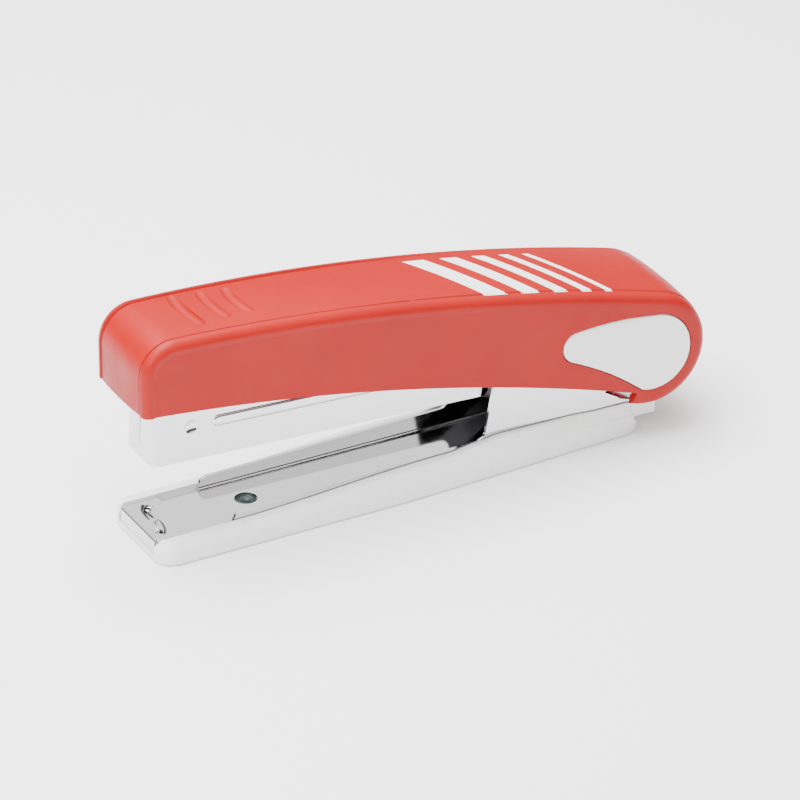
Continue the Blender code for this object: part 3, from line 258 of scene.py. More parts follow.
def height_along(stops, x):
    """A height read from (x, z) stops, eased between them."""
    if x <= stops[0][0]:
        return stops[0][1]
    for (x0, z0), (x1, z1) in zip(stops, stops[1:]):
        if x <= x1:
            return z0 + (z1 - z0) * smooth((x - x0) / (x1 - x0))
    return stops[-1][1]


# ================================================================ mesh tools
def loft(data, row, places, closed=False):
    """Extrude a row of vertices, and move the new row to its places."""
    ends = row[1:] + row[:1] if closed else row[1:]
    edges = [data.edges.get(pair) for pair in zip(row, ends)]
    order = {tuple(vert.co): i for i, vert in enumerate(row)}
    grown = bmesh.ops.extrude_edge_only(data, edges=edges)
    fresh = [part for part in grown["geom"] if isinstance(part, bmesh.types.BMVert)]
    fresh.sort(key=lambda vert: order[tuple(vert.co)])
    for vert, place in zip(fresh, places):
        vert.co = place
    return fresh


def first_row(data, places, closed=False):
    """Lay down the row of vertices that a loft starts from."""
    row = [data.verts.new(place) for place in places]
    for pair in zip(row, row[1:] + row[:1] if closed else row[1:]):
        data.edges.new(pair)
    return row


def raised(corners, along):
    """Extrude a flat outline of 3-D points into a solid."""
    data = bmesh.new()
    face = data.faces.new([data.verts.new(corner) for corner in corners])
    grown = bmesh.ops.extrude_face_region(data, geom=[face])
    moved = [part for part in grown["geom"] if isinstance(part, bmesh.types.BMVert)]
    bmesh.ops.translate(data, vec=along, verts=moved)
    bmesh.ops.recalc_face_normals(data, faces=data.faces[:])
    return data


def prism(outline, y_low, y_high):
    """Extrude a side outline, a list of (x, z), from one Y to another."""
    return raised([(x, y_low, z) for x, z in outline], (0.0, y_high - y_low, 0.0))


def block(low, high, round_off=0.0, keep=None, segments=4):
    """A box between two corners, with the edges that a test picks rounded off."""
    data = bmesh.new()
    bmesh.ops.create_cube(data, size=1.0)
    size = [high[axis] - low[axis] for axis in range(3)]
    centre = [(high[axis] + low[axis]) / 2 for axis in range(3)]
    bmesh.ops.scale(data, vec=size, verts=data.verts[:])
    bmesh.ops.translate(data, vec=centre, verts=data.verts[:])
    if round_off:
        round_edges(data, round_off, keep, segments)
    return data


def bevel_edges(data, edges, width, segments):
    """Round some edges off."""
    bmesh.ops.bevel(data, geom=edges, offset=width, offset_type="OFFSET", segments=segments,
                    profile=0.5, affect="EDGES", material=-1, clamp_overlap=True)


def round_edges(data, radius, keep, segments=4):
    """Round off the edges that a test picks."""
    bevel_edges(data, [edge for edge in data.edges if keep(edge)], radius, segments)


def rod(start, end, radius, segments=48):
    """A round bar between two points."""
    data = bmesh.new()
    along = Vector(end) - Vector(start)
    bmesh.ops.create_cone(data, cap_ends=True, segments=segments, radius1=radius,
                          radius2=radius, depth=along.length)
    turn = Vector((0.0, 0.0, 1.0)).rotation_difference(along).to_matrix().to_4x4()
    place = Matrix.Translation((Vector(start) + Vector(end)) / 2) @ turn
    bmesh.ops.transform(data, matrix=place, verts=data.verts[:])
    return data


def ball(centre, radius, squash):
    """A sphere, flattened across Y by a share."""
    data = bmesh.new()
    bmesh.ops.create_uvsphere(data, u_segments=40, v_segments=20, radius=radius)
    bmesh.ops.scale(data, vec=(1.0, squash, 1.0), verts=data.verts[:])
    bmesh.ops.translate(data, vec=centre, verts=data.verts[:])
    return data


def turned(profile, place, segments=64):
    """Spin an open profile of (radius, height), both ends on the axis, about +Z."""
    data = bmesh.new()
    row = first_row(data, [(radius, 0.0, height) for radius, height in profile])
    bmesh.ops.spin(data, geom=row + data.edges[:], cent=(0, 0, 0), axis=(0, 0, 1),
                   angle=math.tau, steps=segments, use_merge=True)
    bmesh.ops.remove_doubles(data, verts=data.verts[:], dist=MERGE)
    bmesh.ops.recalc_face_normals(data, faces=data.faces[:])
    bmesh.ops.translate(data, vec=place, verts=data.verts[:])
    return data


def swept_bar(radius, half_span, bow, segments, steps):
    """A round bar along an arc that crosses the centre line at the origin."""
    sweep = (half_span * half_span + bow * bow) / (2 * bow)
    half_turn = math.asin(half_span / sweep)
    data = bmesh.new()
    made = bmesh.ops.create_circle(data, cap_ends=True, segments=segments, radius=radius)
    bmesh.ops.rotate(data, verts=made["verts"], matrix=Matrix.Rotation(math.pi / 2, 3, "X"))
    bmesh.ops.translate(data, verts=made["verts"], vec=(-sweep, 0.0, 0.0))
    bmesh.ops.rotate(data, verts=made["verts"], matrix=Matrix.Rotation(-half_turn, 3, "Z"))
    bmesh.ops.spin(data, geom=data.faces[:], cent=(0, 0, 0), axis=(0, 0, 1),
                   angle=2 * half_turn, steps=steps)
    bmesh.ops.translate(data, verts=data.verts[:], vec=(sweep, 0.0, 0.0))
    bmesh.ops.recalc_face_normals(data, faces=data.faces[:])
    return data


def scratch_object(data, name="piece"):
    """A bmesh as an object in the scene."""
    mesh = bpy.data.meshes.new(name)
    data.to_mesh(mesh)
    data.free()
    item = bpy.data.objects.new(name, mesh)
    bpy.context.scene.collection.objects.link(item)
    return item


def settle(item):
    """Apply an object's modifiers to its mesh."""
    graph = bpy.context.evaluated_depsgraph_get()
    mesh = bpy.data.meshes.new_from_object(item.evaluated_get(graph))
    item.modifiers.clear()
    old = item.data
    item.data = mesh
    bpy.data.meshes.remove(old)


def carve(item, cutters, operation="DIFFERENCE"):
    """Cut shapes from a piece, or weld them on, one after another."""
    for data in cutters:
        bmesh.ops.recalc_face_normals(data, faces=data.faces[:])
        cutter = scratch_object(data, "cutter")
        modifier = item.modifiers.new("Carve", "BOOLEAN")
        modifier.operation = operation
        modifier.solver = "EXACT"
        modifier.object = cutter
        settle(item)
        mesh = cutter.data
        bpy.data.objects.remove(cutter)
        bpy.data.meshes.remove(mesh)


def soften(item, width, segments=2, angle=40.0):
    """Round every edge sharper than an angle."""
    modifier = item.modifiers.new("Soften", "BEVEL")
    modifier.width = width
    modifier.segments = segments
    modifier.limit_method = "ANGLE"
    modifier.angle_limit = math.radians(angle)
    modifier.use_clamp_overlap = True
    settle(item)


def finish_piece(item, name, body, slot, replaced, angle=32.0):
    """Name a piece, shade it, give it its finish and put it on its body."""
    if not item.data.polygons:
        raise RuntimeError(name + " came out empty")
    item.name = name
    item.data.name = name
    item.data.materials.clear()
    item.data.materials.append(material_of(slot))
    for polygon in item.data.polygons:
        polygon.material_index = 0
    item.data.shade_smooth()
    item.data.set_sharp_from_angle(angle=math.radians(angle))
    weighted = item.modifiers.new("Even shading", "WEIGHTED_NORMAL")
    weighted.keep_sharp = True
    weighted.weight = 80
    settle(item)
    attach(item, body)
    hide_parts(replaced)


def middle(node):
    """Middle of a node's box in the frame."""
    low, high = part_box(node)
    return (low + high) / 2


def to_row(data, tilt=0.0):
    """Move a bmesh from the hinge's own frame, tilted nose up, to the row frame."""
    place = Matrix.Translation(HINGE) @ Matrix.Rotation(tilt, 4, "Y")
    bmesh.ops.transform(data, matrix=place, verts=data.verts[:])
    return data


# ================================================================ materials
# bars printed on the cover: where each crosses the centre line, and half its width
PRINT_BARS = ((20.0 * MM, 3.2 * MM), (30.5 * MM, 2.5 * MM), (39.5 * MM, 1.9 * MM),
              (47.3 * MM, 1.4 * MM), (54.0 * MM, 1.0 * MM))
PRINT_SLANT = 0.55
PRINT_EDGES = (-13.6 * MM, 9.5 * MM)
PRINT_LOW = 40.0 * MM
WAVE_PERIOD = math.tau / 20.0       # of a wave texture at a scale of 1


class Finish:
    """A Principled material and short calls that add nodes to it."""

    def __init__(self, name, base, roughness, metallic=0.0):
        base = tuple(base)
        self.material = bpy.data.materials.new(name)
        self.material.use_nodes = True
        self.tree = self.material.node_tree
        self.shader = self.tree.nodes["Principled BSDF"]
        self.shader.inputs["Base Color"].default_value = (*base, 1.0)
        self.shader.inputs["Roughness"].default_value = roughness
        self.shader.inputs["Metallic"].default_value = metallic
        self.place = self.tree.nodes.new("ShaderNodeTexCoord").outputs["Object"]

    def link(self, source, target):
        """Join two sockets."""
        self.tree.links.new(source, target)

    def mapping(self, scale, turn=(0, 0, 0)):
        """Object coordinates, stretched and turned."""
        node = self.tree.nodes.new("ShaderNodeMapping")
        node.inputs["Scale"].default_value = scale
        node.inputs["Rotation"].default_value = turn
        self.link(self.place, node.inputs["Vector"])
        return node.outputs["Vector"]

    def noise(self, scale, detail=3.0, vector=None, roughness=0.5):
        """Cloudy noise in Object coordinates."""
        node = self.tree.nodes.new("ShaderNodeTexNoise")
        node.inputs["Scale"].default_value = scale
        node.inputs["Detail"].default_value = detail
        node.inputs["Roughness"].default_value = roughness
        self.link(vector or self.place, node.inputs["Vector"])
        return node.outputs["Fac"]

    def spread(self, value, low, high, low_in=0.3, high_in=0.7):
        """Map a value from one range to another."""
        node = self.tree.nodes.new("ShaderNodeMapRange")
        node.inputs["From Min"].default_value = low_in
        node.inputs["From Max"].default_value = high_in
        node.inputs["To Min"].default_value = low
        node.inputs["To Max"].default_value = high
        self.link(value, node.inputs["Value"])
        return node.outputs["Result"]

    def math(self, kind, *values):
        """One step of arithmetic on numbers and sockets."""
        node = self.tree.nodes.new("ShaderNodeMath")
        node.operation = kind
        for socket, value in zip(node.inputs, values):
            if isinstance(value, float):
                socket.default_value = value
            else:
                self.link(value, socket)
        return node.outputs["Value"]

    def mix(self, share, first, second):
        """Blend two colours, each a tuple or a socket."""
        node = self.tree.nodes.new("ShaderNodeMix")
        node.data_type = "RGBA"
        self.link(share, node.inputs["Factor"])
        sockets = {socket.identifier: socket for socket in node.inputs}
        for socket, value in ((sockets["A_Color"], first), (sockets["B_Color"], second)):
            if isinstance(value, tuple):
                socket.default_value = (*value, 1.0)
            else:
                self.link(value, socket)
        return [socket for socket in node.outputs if socket.type == "RGBA"][0]

    def bump(self, height, strength, distance, base=None):
        """Raise a height above the surface, on top of an earlier bump."""
        node = self.tree.nodes.new("ShaderNodeBump")
        node.inputs["Strength"].default_value = strength
        node.inputs["Distance"].default_value = distance
        self.link(height, node.inputs["Height"])
        if base is not None:
            self.link(base, node.inputs["Normal"])
        return node.outputs["Normal"]

    def use(self, name, source):
        """Feed one of the shader's sockets."""
        self.link(source, self.shader.inputs[name])


def shade(base, factor):
    """A colour made darker or lighter."""
    return tuple(min(1.0, channel * factor) for channel in base)


def moulded_plastic(name, base, roughness, grain, variation=0.05):
    """Moulded plastic: a fine spark-eroded grain, faint flow clouds and handling marks."""
    finish = Finish(name, base, roughness)
    clouds = finish.noise(45.0, 3.0)
    finish.use("Base Color", finish.mix(finish.spread(clouds, 0.0, 1.0),
                                        shade(base, 1.0 - variation), shade(base, 1.0 + variation)))
    rubbed = finish.noise(160.0, 4.0)
    finish.use("Roughness", finish.spread(rubbed, roughness - 0.05, roughness + 0.06))
    sink = finish.bump(clouds, 0.10, 0.25 * MM)
    pores = finish.noise(grain, 2.0, roughness=0.6)
    finish.use("Normal", finish.bump(pores, 0.16, 0.05 * MM, sink))
    finish.shader.inputs["IOR"].default_value = 1.5
    return finish


def cover_finish(colours):
    """The cover's red plastic, with slanted bars printed across the rear of its top."""
    finish = moulded_plastic("red_moulded_plastic", colours.cover, 0.42, 2600.0)
    finish.shader.inputs["Specular IOR Level"].default_value = 0.22
    parts = finish.tree.nodes.new("ShaderNodeSeparateXYZ")
    finish.link(finish.place, parts.inputs["Vector"])
    x, y, z = (parts.outputs[axis] for axis in "XYZ")
    slanted = finish.math("ADD", x, finish.math("MULTIPLY", y, PRINT_SLANT))
    # inside the print's region: its near edge, its far edge, and above the side walls
    ink = finish.math("MULTIPLY", finish.math("GREATER_THAN", y, PRINT_EDGES[0]),
                      finish.math("LESS_THAN", y, PRINT_EDGES[1]))
    ink = finish.math("MULTIPLY", ink, finish.math("GREATER_THAN", z, PRINT_LOW))
    bars = None
    for centre, half in PRINT_BARS:
        across = finish.math("ABSOLUTE", finish.math("SUBTRACT", slanted, centre))
        inside = finish.math("LESS_THAN", across, half)
        bars = inside if bars is None else finish.math("MAXIMUM", bars, inside)
    ink = finish.math("MULTIPLY", ink, bars)
    worn = finish.spread(finish.noise(900.0, 2.0), 0.93, 1.0, 0.35, 0.55)
    red = finish.shader.inputs["Base Color"].links[0].from_socket
    finish.use("Base Color", finish.mix(finish.math("MULTIPLY", ink, worn), red,
                                        tuple(colours.print_ink)))
    return finish


def plated_steel(name, base, roughness):
    """Bright plating: mirror-like, with a faint ripple, haze and fine rubbed scratches."""
    finish = Finish(name, base, roughness, 1.0)
    haze = finish.noise(120.0, 4.0)
    finish.use("Roughness", finish.spread(haze, roughness * 0.7, roughness * 1.5))
    tint = finish.noise(60.0, 2.0)
    finish.use("Base Color", finish.mix(finish.spread(tint, 0.0, 1.0), shade(base, 0.96),
                                        tuple(base)))
    ripple = finish.bump(finish.noise(70.0, 1.0), 0.05, 0.3 * MM)
    scratches = finish.noise(1.0, 3.0, finish.mapping((160.0, 5200.0, 5200.0), (0.0, 0.0, 0.02)))
    finish.use("Normal", finish.bump(scratches, 0.05, 0.02 * MM, ripple))
    return finish


def drawn_steel(name, base, roughness, metallic=1.0):
    """Unpolished steel: rolling lines along its length, blotches and a soft sheen."""
    finish = Finish(name, base, roughness, metallic)
    blotches = finish.noise(260.0, 4.0)
    finish.use("Base Color", finish.mix(finish.spread(blotches, 0.0, 1.0), shade(base, 0.82),
                                        shade(base, 1.08)))
    finish.use("Roughness", finish.spread(finish.noise(420.0, 3.0), roughness - 0.07,
                                          roughness + 0.10))
    lines = finish.noise(1.0, 3.0, finish.mapping((220.0, 4200.0, 4200.0)))
    finish.use("Normal", finish.bump(lines, 0.18, 0.04 * MM))
    return finish


def staple_finish(base):
    """Glued staple wires, side by side: a ridge every half millimetre along the strip, with painted
    shade in the grooves between the wires.
    """
    finish = Finish("staple_wire", base, 0.28, 1.0)
    wave = finish.tree.nodes.new("ShaderNodeTexWave")
    wave.bands_direction = "X"
    wave.inputs["Scale"].default_value = WAVE_PERIOD / (0.5 * MM)
    finish.link(finish.place, wave.inputs["Vector"])
    ridges = wave.outputs["Fac"]
    # painted shade: the grooves between the wires are darkened to 0.45 of the wire's colour
    finish.use("Base Color", finish.mix(finish.spread(ridges, 0.0, 1.0, 0.0, 0.5),
                                        shade(base, 0.45), tuple(base)))
    finish.use("Roughness", finish.spread(finish.noise(500.0), 0.22, 0.38))
    finish.use("Normal", finish.bump(ridges, 0.7, 0.12 * MM))
    return finish


def make_finishes():
    """Every finish of the stapler, by its slot's name."""
    colours = bpy.context.scene.stapler_colours
    return {
        "red_plastic": cover_finish(colours),
        "white_plastic": moulded_plastic("white_moulded_plastic", colours.white, 0.30, 3200.0,
                                         0.012),
        "chrome": plated_steel("bright_chrome", colours.chrome, 0.07),
        "spring_steel": drawn_steel("spring_steel", colours.steel, 0.34),
        "zinc_plate": drawn_steel("zinc_plate", colours.zinc, 0.40),
        "dark_rivet": drawn_steel("blackened_rivet", colours.rivet, 0.30, 0.85),
        "staple_wire": staple_finish(colours.staple),
        "black_plastic": moulded_plastic("black_moulded_plastic", colours.black, 0.45, 2400.0,
                                         0.15),
    }


FINISHES = {}


def material_of(slot):
    """The material that a record slot stands for, made on first use."""
    if not FINISHES:
        FINISHES.update(make_finishes())
    return FINISHES[slot].material


# ================================================================ cover
def cover_width(x):
    """Half width of the cover at a distance from the hinge."""
    share = (x - NOSE_X) / (COVER_R - NOSE_X)
    return COVER_HALF_FRONT + (COVER_HALF_REAR - COVER_HALF_FRONT) * share


def bead_share(x):
    """How much of the bead is left: 1 at the front, 0 at the rear."""
    return smooth((BEAD_END - x) / BEAD_FADE)


def cover_path():
    """Side view of the cover's skin, from its front lower edge over the top to the rear lip."""
    nose = (NOSE_X + NOSE_R, NOSE_TOP - NOSE_R)
    rear = (COVER_R * math.cos(TOP_END), COVER_R * math.sin(TOP_END))
    front = [(NOSE_X, LOW_FRONT + (nose[1] - LOW_FRONT) * i / 5) for i in range(5)]
    top = arc_through((nose[0], NOSE_TOP), TOP_MIDDLE, rear, 70)
    return (front + arc(nose, NOSE_R, math.pi, math.pi / 2, 16)[:-1] + top[:-1]
            + arc((0.0, 0.0), COVER_R, TOP_END, LOW_END, 64))


def cover_section(sizes, x):
    """Half cross-section at a place: (distance from the middle, depth below the skin)."""
    width = cover_width(x)
    edge = sizes.cover_edge
    fade = bead_share(x)
    bead = sizes.bead_height * fade
    reach = edge * 0.55 + sizes.bead_width
    shape = []
    for step in range(6):
        y = (width - reach) * step / 5
        shape.append((y, -sizes.cover_crown * (1 - (y / width) ** 2) + bead))
    flank = width - sizes.bead_width - edge * 0.35
    shape += [(flank - 0.2 * MM, bead * 1.25), (flank, bead * 1.15),
              (flank + 0.28 * MM, bead * 0.25), (flank + 0.42 * MM, 0.0)]
    inner = width - edge
    for step in range(8):
        turn = math.pi / 2 * step / 7
        shape.append((inner + edge * math.sin(turn), edge - edge * math.cos(turn)))
    shape.append((width - 0.25 * MM * fade, edge + 0.7 * MM))
    shape.append((width - SIDE_DRAFT * fade, edge + 1.3 * MM))
    return shape


def grip_groove(place, half_span, radius):
    """A cutter for one crescent groove across the top, which runs out at both ends."""
    data = swept_bar(radius, half_span, GRIP_BOW, 28, 20)
    for vert in data.verts:
        slope = vert.co.y / half_span
        vert.co.z += 0.2 * MM * slope + 0.6 * MM * max(0.0, slope) ** 3
        vert.co.z += 1.6 * MM * max(0.0, abs(slope) - 0.72) ** 2 / 0.28 ** 2
    bmesh.ops.translate(data, verts=data.verts[:], vec=place)
    return data


def teardrop(grow=0.0):
    """Teardrop outline around the hinge: two rounds joined by a bulging and a hollow side."""
    lean = math.atan2(INSET_TIP[1], INSET_TIP[0])
    spread = math.acos((INSET_R - INSET_TIP_R) / math.hypot(*INSET_TIP))
    upper, lower = lean - spread, lean + spread
    big_end = arc((0.0, 0.0), INSET_R + grow, upper, lower - math.tau + math.radians(16), 56)
    small_end = arc(INSET_TIP, INSET_TIP_R + grow, lower - math.radians(3),
                    upper + math.radians(6), 26)
    hollow = bowed(big_end[-1], small_end[0], INSET_HOLLOW, lower + math.pi)
    bulge = bowed(small_end[-1], big_end[0], INSET_BULGE, upper)
    return big_end + hollow + small_end + bulge


def bowed(start, end, bow, direction, steps=20):
    """Points between two ends, bowed sideways by a distance in a direction."""
    points = []
    for i in range(1, steps):
        share = i / steps
        lift = math.sin(math.pi * share) * bow
        points.append((start[0] + (end[0] - start[0]) * share + lift * math.cos(direction),
                       start[1] + (end[1] - start[1]) * share + lift * math.sin(direction)))
    return points


def taper(data):
    """Narrow a shape that is drawn at the cover's rear width towards the front."""
    for vert in data.verts:
        vert.co.y *= cover_width(vert.co.x) / COVER_HALF_REAR
    return data


def cover_half(sizes):
    """One half of the cover's outer skin, from the symmetry plane to the side wall."""
    data = bmesh.new()
    path = cover_path()
    normals = outward(path)
    sections = [cover_section(sizes, x) for x, _ in path]
    rows = [[(x - nx * part[k][1], -part[k][0], z - nz * part[k][1])
             for (x, z), (nx, nz), part in zip(path, normals, sections)]
            for k in range(len(sections[0]))]
    row = first_row(data, rows[0])
    for places in rows[1:]:
        row = loft(data, row, places)
    lower = arc_through((row[-1].co.x, row[-1].co.z), LOW_MIDDLE, (row[0].co.x, row[0].co.z), 60)
    side = [data.verts.new((x, SIDE_DRAFT * bead_share(x) - cover_width(x), z))
            for x, z in lower[1:-1]]
    data.faces.new(row + side)
    return data, path


def open_underside(data, wall):
    """Open the skin underneath the round rear end, where the ears pass."""
    doomed = []
    for face in data.faces:
        centre = face.calc_center_median()
        angle = math.atan2(centre.z, centre.x)
        near_round = math.hypot(centre.x, centre.z) > COVER_R - 1.5 * MM
        if near_round and LOW_END < angle < LIP_END and abs(centre.y) < COVER_HALF_REAR - wall:
            doomed.append(face)
    bmesh.ops.delete(data, geom=doomed, context="FACES")


class STAPLER_OT_cover(bpy.types.Operator):
    """Build the arched cover with its bead, grip grooves, inset seats and screw bosses"""

    bl_idname = "stapler.cover"
    bl_label = "Cover"

    def execute(self, context):
        sizes = context.scene.stapler_sizes
        data, path = cover_half(sizes)
        bmesh.ops.mirror(data, geom=data.verts[:] + data.edges[:] + data.faces[:],
                         axis="Y", merge_dist=MERGE)
        bmesh.ops.remove_doubles(data, verts=data.verts[:], dist=MERGE)
        open_underside(data, sizes.cover_wall)
        bmesh.ops.recalc_face_normals(data, faces=data.faces[:])
        if sum(face.normal.z * face.calc_area() for face in data.faces) < 0:
            bmesh.ops.reverse_faces(data, faces=data.faces[:])
        item = scratch_object(to_row(data))
        wall = item.modifiers.new("Wall", "SOLIDIFY")
        wall.thickness = sizes.cover_wall
        wall.offset = -1.0
        wall.use_even_offset = True
        wall.use_quality_normals = True
        settle(item)
        carve(item, self.bosses(path), "UNION")
        carve(item, [grip_groove(place, half_span, sizes.grip_radius)
                     for place, half_span in GRIP_GROOVES])
        depth = sizes.inset_thickness - sizes.inset_proud + GAP
        for side in (-1, 1):
            low, high = sorted((side * (COVER_HALF_REAR - depth), side * (COVER_HALF_REAR + PASS)))
            carve(item, [to_row(taper(prism(teardrop(GAP), low, high)))])
        soften(item, 0.18 * MM, 2, 50.0)
        finish_piece(item, "cover", "cover", "red_plastic", "cover_shell")
        return {"FINISHED"}

    def bosses(self, skin):
        """Two bosses inside the cover that its screws bite into."""
        up = Vector((math.sin(LEVER_SLOPE), 0.0, math.cos(LEVER_SLOPE)))
        for name in COVER_SCREWS:
            foot = middle(name) - HINGE
            foot.y = 0.0
            roof = min((point for point in skin if point[1] > foot.z + 5 * MM),
                       key=lambda point: abs(point[0] - foot.x))
            top = foot + up * (roof[1] - foot.z - 1.2 * MM)
            yield to_row(rod(foot - up * 2.4 * MM, top, SCREW_BOSS_R))


class STAPLER_OT_insets(bpy.types.Operator):
    """Build the two teardrop insets over the hinge, each with a sloping upper band"""

    bl_idname = "stapler.insets"
    bl_label = "Insets"

    def execute(self, context):
        sizes = context.scene.stapler_sizes
        for name, side, node in (("inset_near", -1, "inset_right"), ("inset_far", 1, "inset_left")):
            outer = COVER_HALF_REAR + sizes.inset_proud
            floor = outer - sizes.inset_thickness
            low, high = sorted((side * floor, side * outer))
            data = prism(teardrop(), low, high)
            self.slope_band(data, side, outer)
            rim = [edge for edge in data.edges
                   if all(abs(vert.co.y - side * floor) > 0.3 * MM for vert in edge.verts)
                   and edge.is_manifold and edge.calc_face_angle() > math.radians(30)]
            bevel_edges(data, rim, INSET_RIM, 5)
            item = scratch_object(to_row(taper(data)))
            finish_piece(item, name, "cover", "white_plastic", node, 45.0)
        return {"FINISHED"}

    def slope_band(self, data, side, outer):
        """Shave the face above a bowed crease line, so that its upper band leans inwards."""
        for (x0, z0), (x1, z1) in zip(INSET_CREASE, INSET_CREASE[1:]):
            along = Vector((x1 - x0, 0.0, z1 - z0)).normalized()
            up = Vector((-along.z, 0.0, along.x))
            normal = (Vector((0.0, side, 0.0)) + up * INSET_LEAN).normalized()
            bmesh.ops.bisect_plane(data, geom=data.verts[:] + data.edges[:] + data.faces[:],
                                   plane_co=(x0, side * outer, z0), plane_no=normal,
                                   clear_outer=True)
            bmesh.ops.holes_fill(data, edges=[edge for edge in data.edges if edge.is_boundary])
        bmesh.ops.recalc_face_normals(data, faces=data.faces[:])


# ================================================================ base
def sole_half(x):
    """Half width of the sole at a place along its length."""
    share = (x - SHOE_TAPER_START) / (SHOE_TAPER_END - SHOE_TAPER_START)
    share = max(0.0, min(1.0, share))
    return SHOE[1].y - (SHOE[1].y - SHOE_HALF_REAR) * share ** 1.25


def sole_plan(steps=60):
    """Plan outline of the sole, clockwise from above, as (x, y)."""
    start = SHOE[0].x + SHOE_CORNER
    places = [start + (SHOE_TAPER_END - start) * i / steps for i in range(steps + 1)]
    front = (start, SHOE[1].y - SHOE_CORNER)
    rear = (SHOE_TAPER_END, SHOE_HALF_REAR - SHOE_CORNER)
    left = (arc(front, SHOE_CORNER, math.pi, math.pi / 2, 12)[:-1]
            + [(x, sole_half(x)) for x in places]
            + arc(rear, SHOE_CORNER, math.pi / 2, 0.0, 12)[1:])
    return left + [(x, -y) for x, y in reversed(left)]


def rim_height(x):
    """Height of the sole's rim along its length."""
    return height_along(RIM_STOPS, x)


def crease_height(x):
    """Height of the crease along the sole's side wall."""
    return height_along(CREASE_STOPS, x)


class STAPLER_OT_sole(bpy.types.Operator):
    """Build the moulded sole with its shouldered rim and the seat for the channel"""

    bl_idname = "stapler.sole"
    bl_label = "Sole"

    def execute(self, context):
        sizes = context.scene.stapler_sizes
        plan = sole_plan()
        normals = outward(plan, closed=True)
        floor = PLATE_LOW - GAP

        def ring(inset, height):
            return [(x - nx * inset, y - ny * inset, height(x))
                    for (x, y), (nx, ny) in zip(plan, normals)]

        def shoulder_ring(share, drop):
            bands = [share * self.band(x, sizes.shoulder) for x, _ in plan]
            return [(x - nx * band, y - ny * band, rim_height(x) - drop)
                    for (x, y), (nx, ny), band in zip(plan, normals, bands)]

        data = bmesh.new()
        row = first_row(data, ring(0.9 * MM, lambda x: 0.0), closed=True)
        data.faces.new(row)
        side = [(0.3 * MM, lambda x: 0.25 * MM), (0.05 * MM, lambda x: 0.8 * MM),
                (0.0, lambda x: 1.6 * MM),
                (0.0, lambda x: crease_height(x) - 0.5 * MM),
                (0.08 * MM, lambda x: crease_height(x) - 0.15 * MM),
                (0.28 * MM, lambda x: crease_height(x) + 0.2 * MM)]
        for inset, height in side:
            row = loft(data, row, ring(inset, height), closed=True)
        for share, drop in ((0.75, 0.55 * MM), (0.92, 0.15 * MM), (1.1, 0.0)):
            row = loft(data, row, shoulder_ring(share, drop), closed=True)
        last = len(row) - 1
        for i in range(len(row) // 2 - 1):
            data.faces.new((row[i], row[i + 1], row[last - i - 1], row[last - i]))
        bmesh.ops.recalc_face_normals(data, faces=data.faces[:])
        item = scratch_object(data)
        tall = SHOE[1].z + PASS
        mouth = TONGUE_HALF + 0.75 * MM
        cutters = [block((SHOE[0].x - PASS, -mouth, 1.7 * MM), (SEAT_FRONT + PASS, mouth, tall)),
                   block((SEAT_FRONT, -SEAT_HALF, floor), (SHOE[1].x + PASS, SEAT_HALF, tall))]
        for name in SOLE_RIVETS:
            x = middle(name).x
            cutters.append(rod((x, 0, 1.2 * MM), (x, 0, floor + PASS), 1.9 * MM, 32))
        carve(item, cutters)
        soften(item, 0.2 * MM, 2, 50.0)
        finish_piece(item, "sole", "base", "white_plastic", "base_shoe", 40.0)
        return {"FINISHED"}

    def band(self, x, shoulder):
        """Width of the sloping shoulder, which narrows where the rim is narrow."""
        room = max(sole_half(x) - SEAT_HALF, 0.7 * MM)
        return min(shoulder, room - 0.1 * MM)


def channel_outline():
    """Side outline of the channel: plate, low flanges and the tall ears at the hinge."""
    top = PLATE_TOP
    corner = (FLANGE_FRONT + FILLET, top + FLANGE_RISE[0] - FILLET)
    fillet = (EAR_FRONT - FILLET, top + FLANGE_RISE[1] + FILLET)
    ear = EAR_FRONT + EAR_LEAN
    hinge = (HINGE.x, HINGE.z)
    points = [(PLATE_FRONT, PLATE_LOW), (PLATE_REAR, PLATE_LOW), (PLATE_REAR, 8.0 * MM)]
    points += arc(hinge, COVER_R + 2 * GAP, math.radians(-84), math.radians(-132), 16)
    points += arc(hinge, EAR_BOSS_R, math.radians(-132), math.radians(96), 40)
    points += [(ear + 4 * MM, EAR_TOP), (ear, EAR_TOP - 3 * MM)]
    points += arc(fillet, FILLET, 0.0, -math.pi / 2, 12)
    points += arc(corner, FILLET, math.pi / 2, math.pi, 12)
    return points + [(FLANGE_FRONT, top), (PLATE_FRONT, top)]


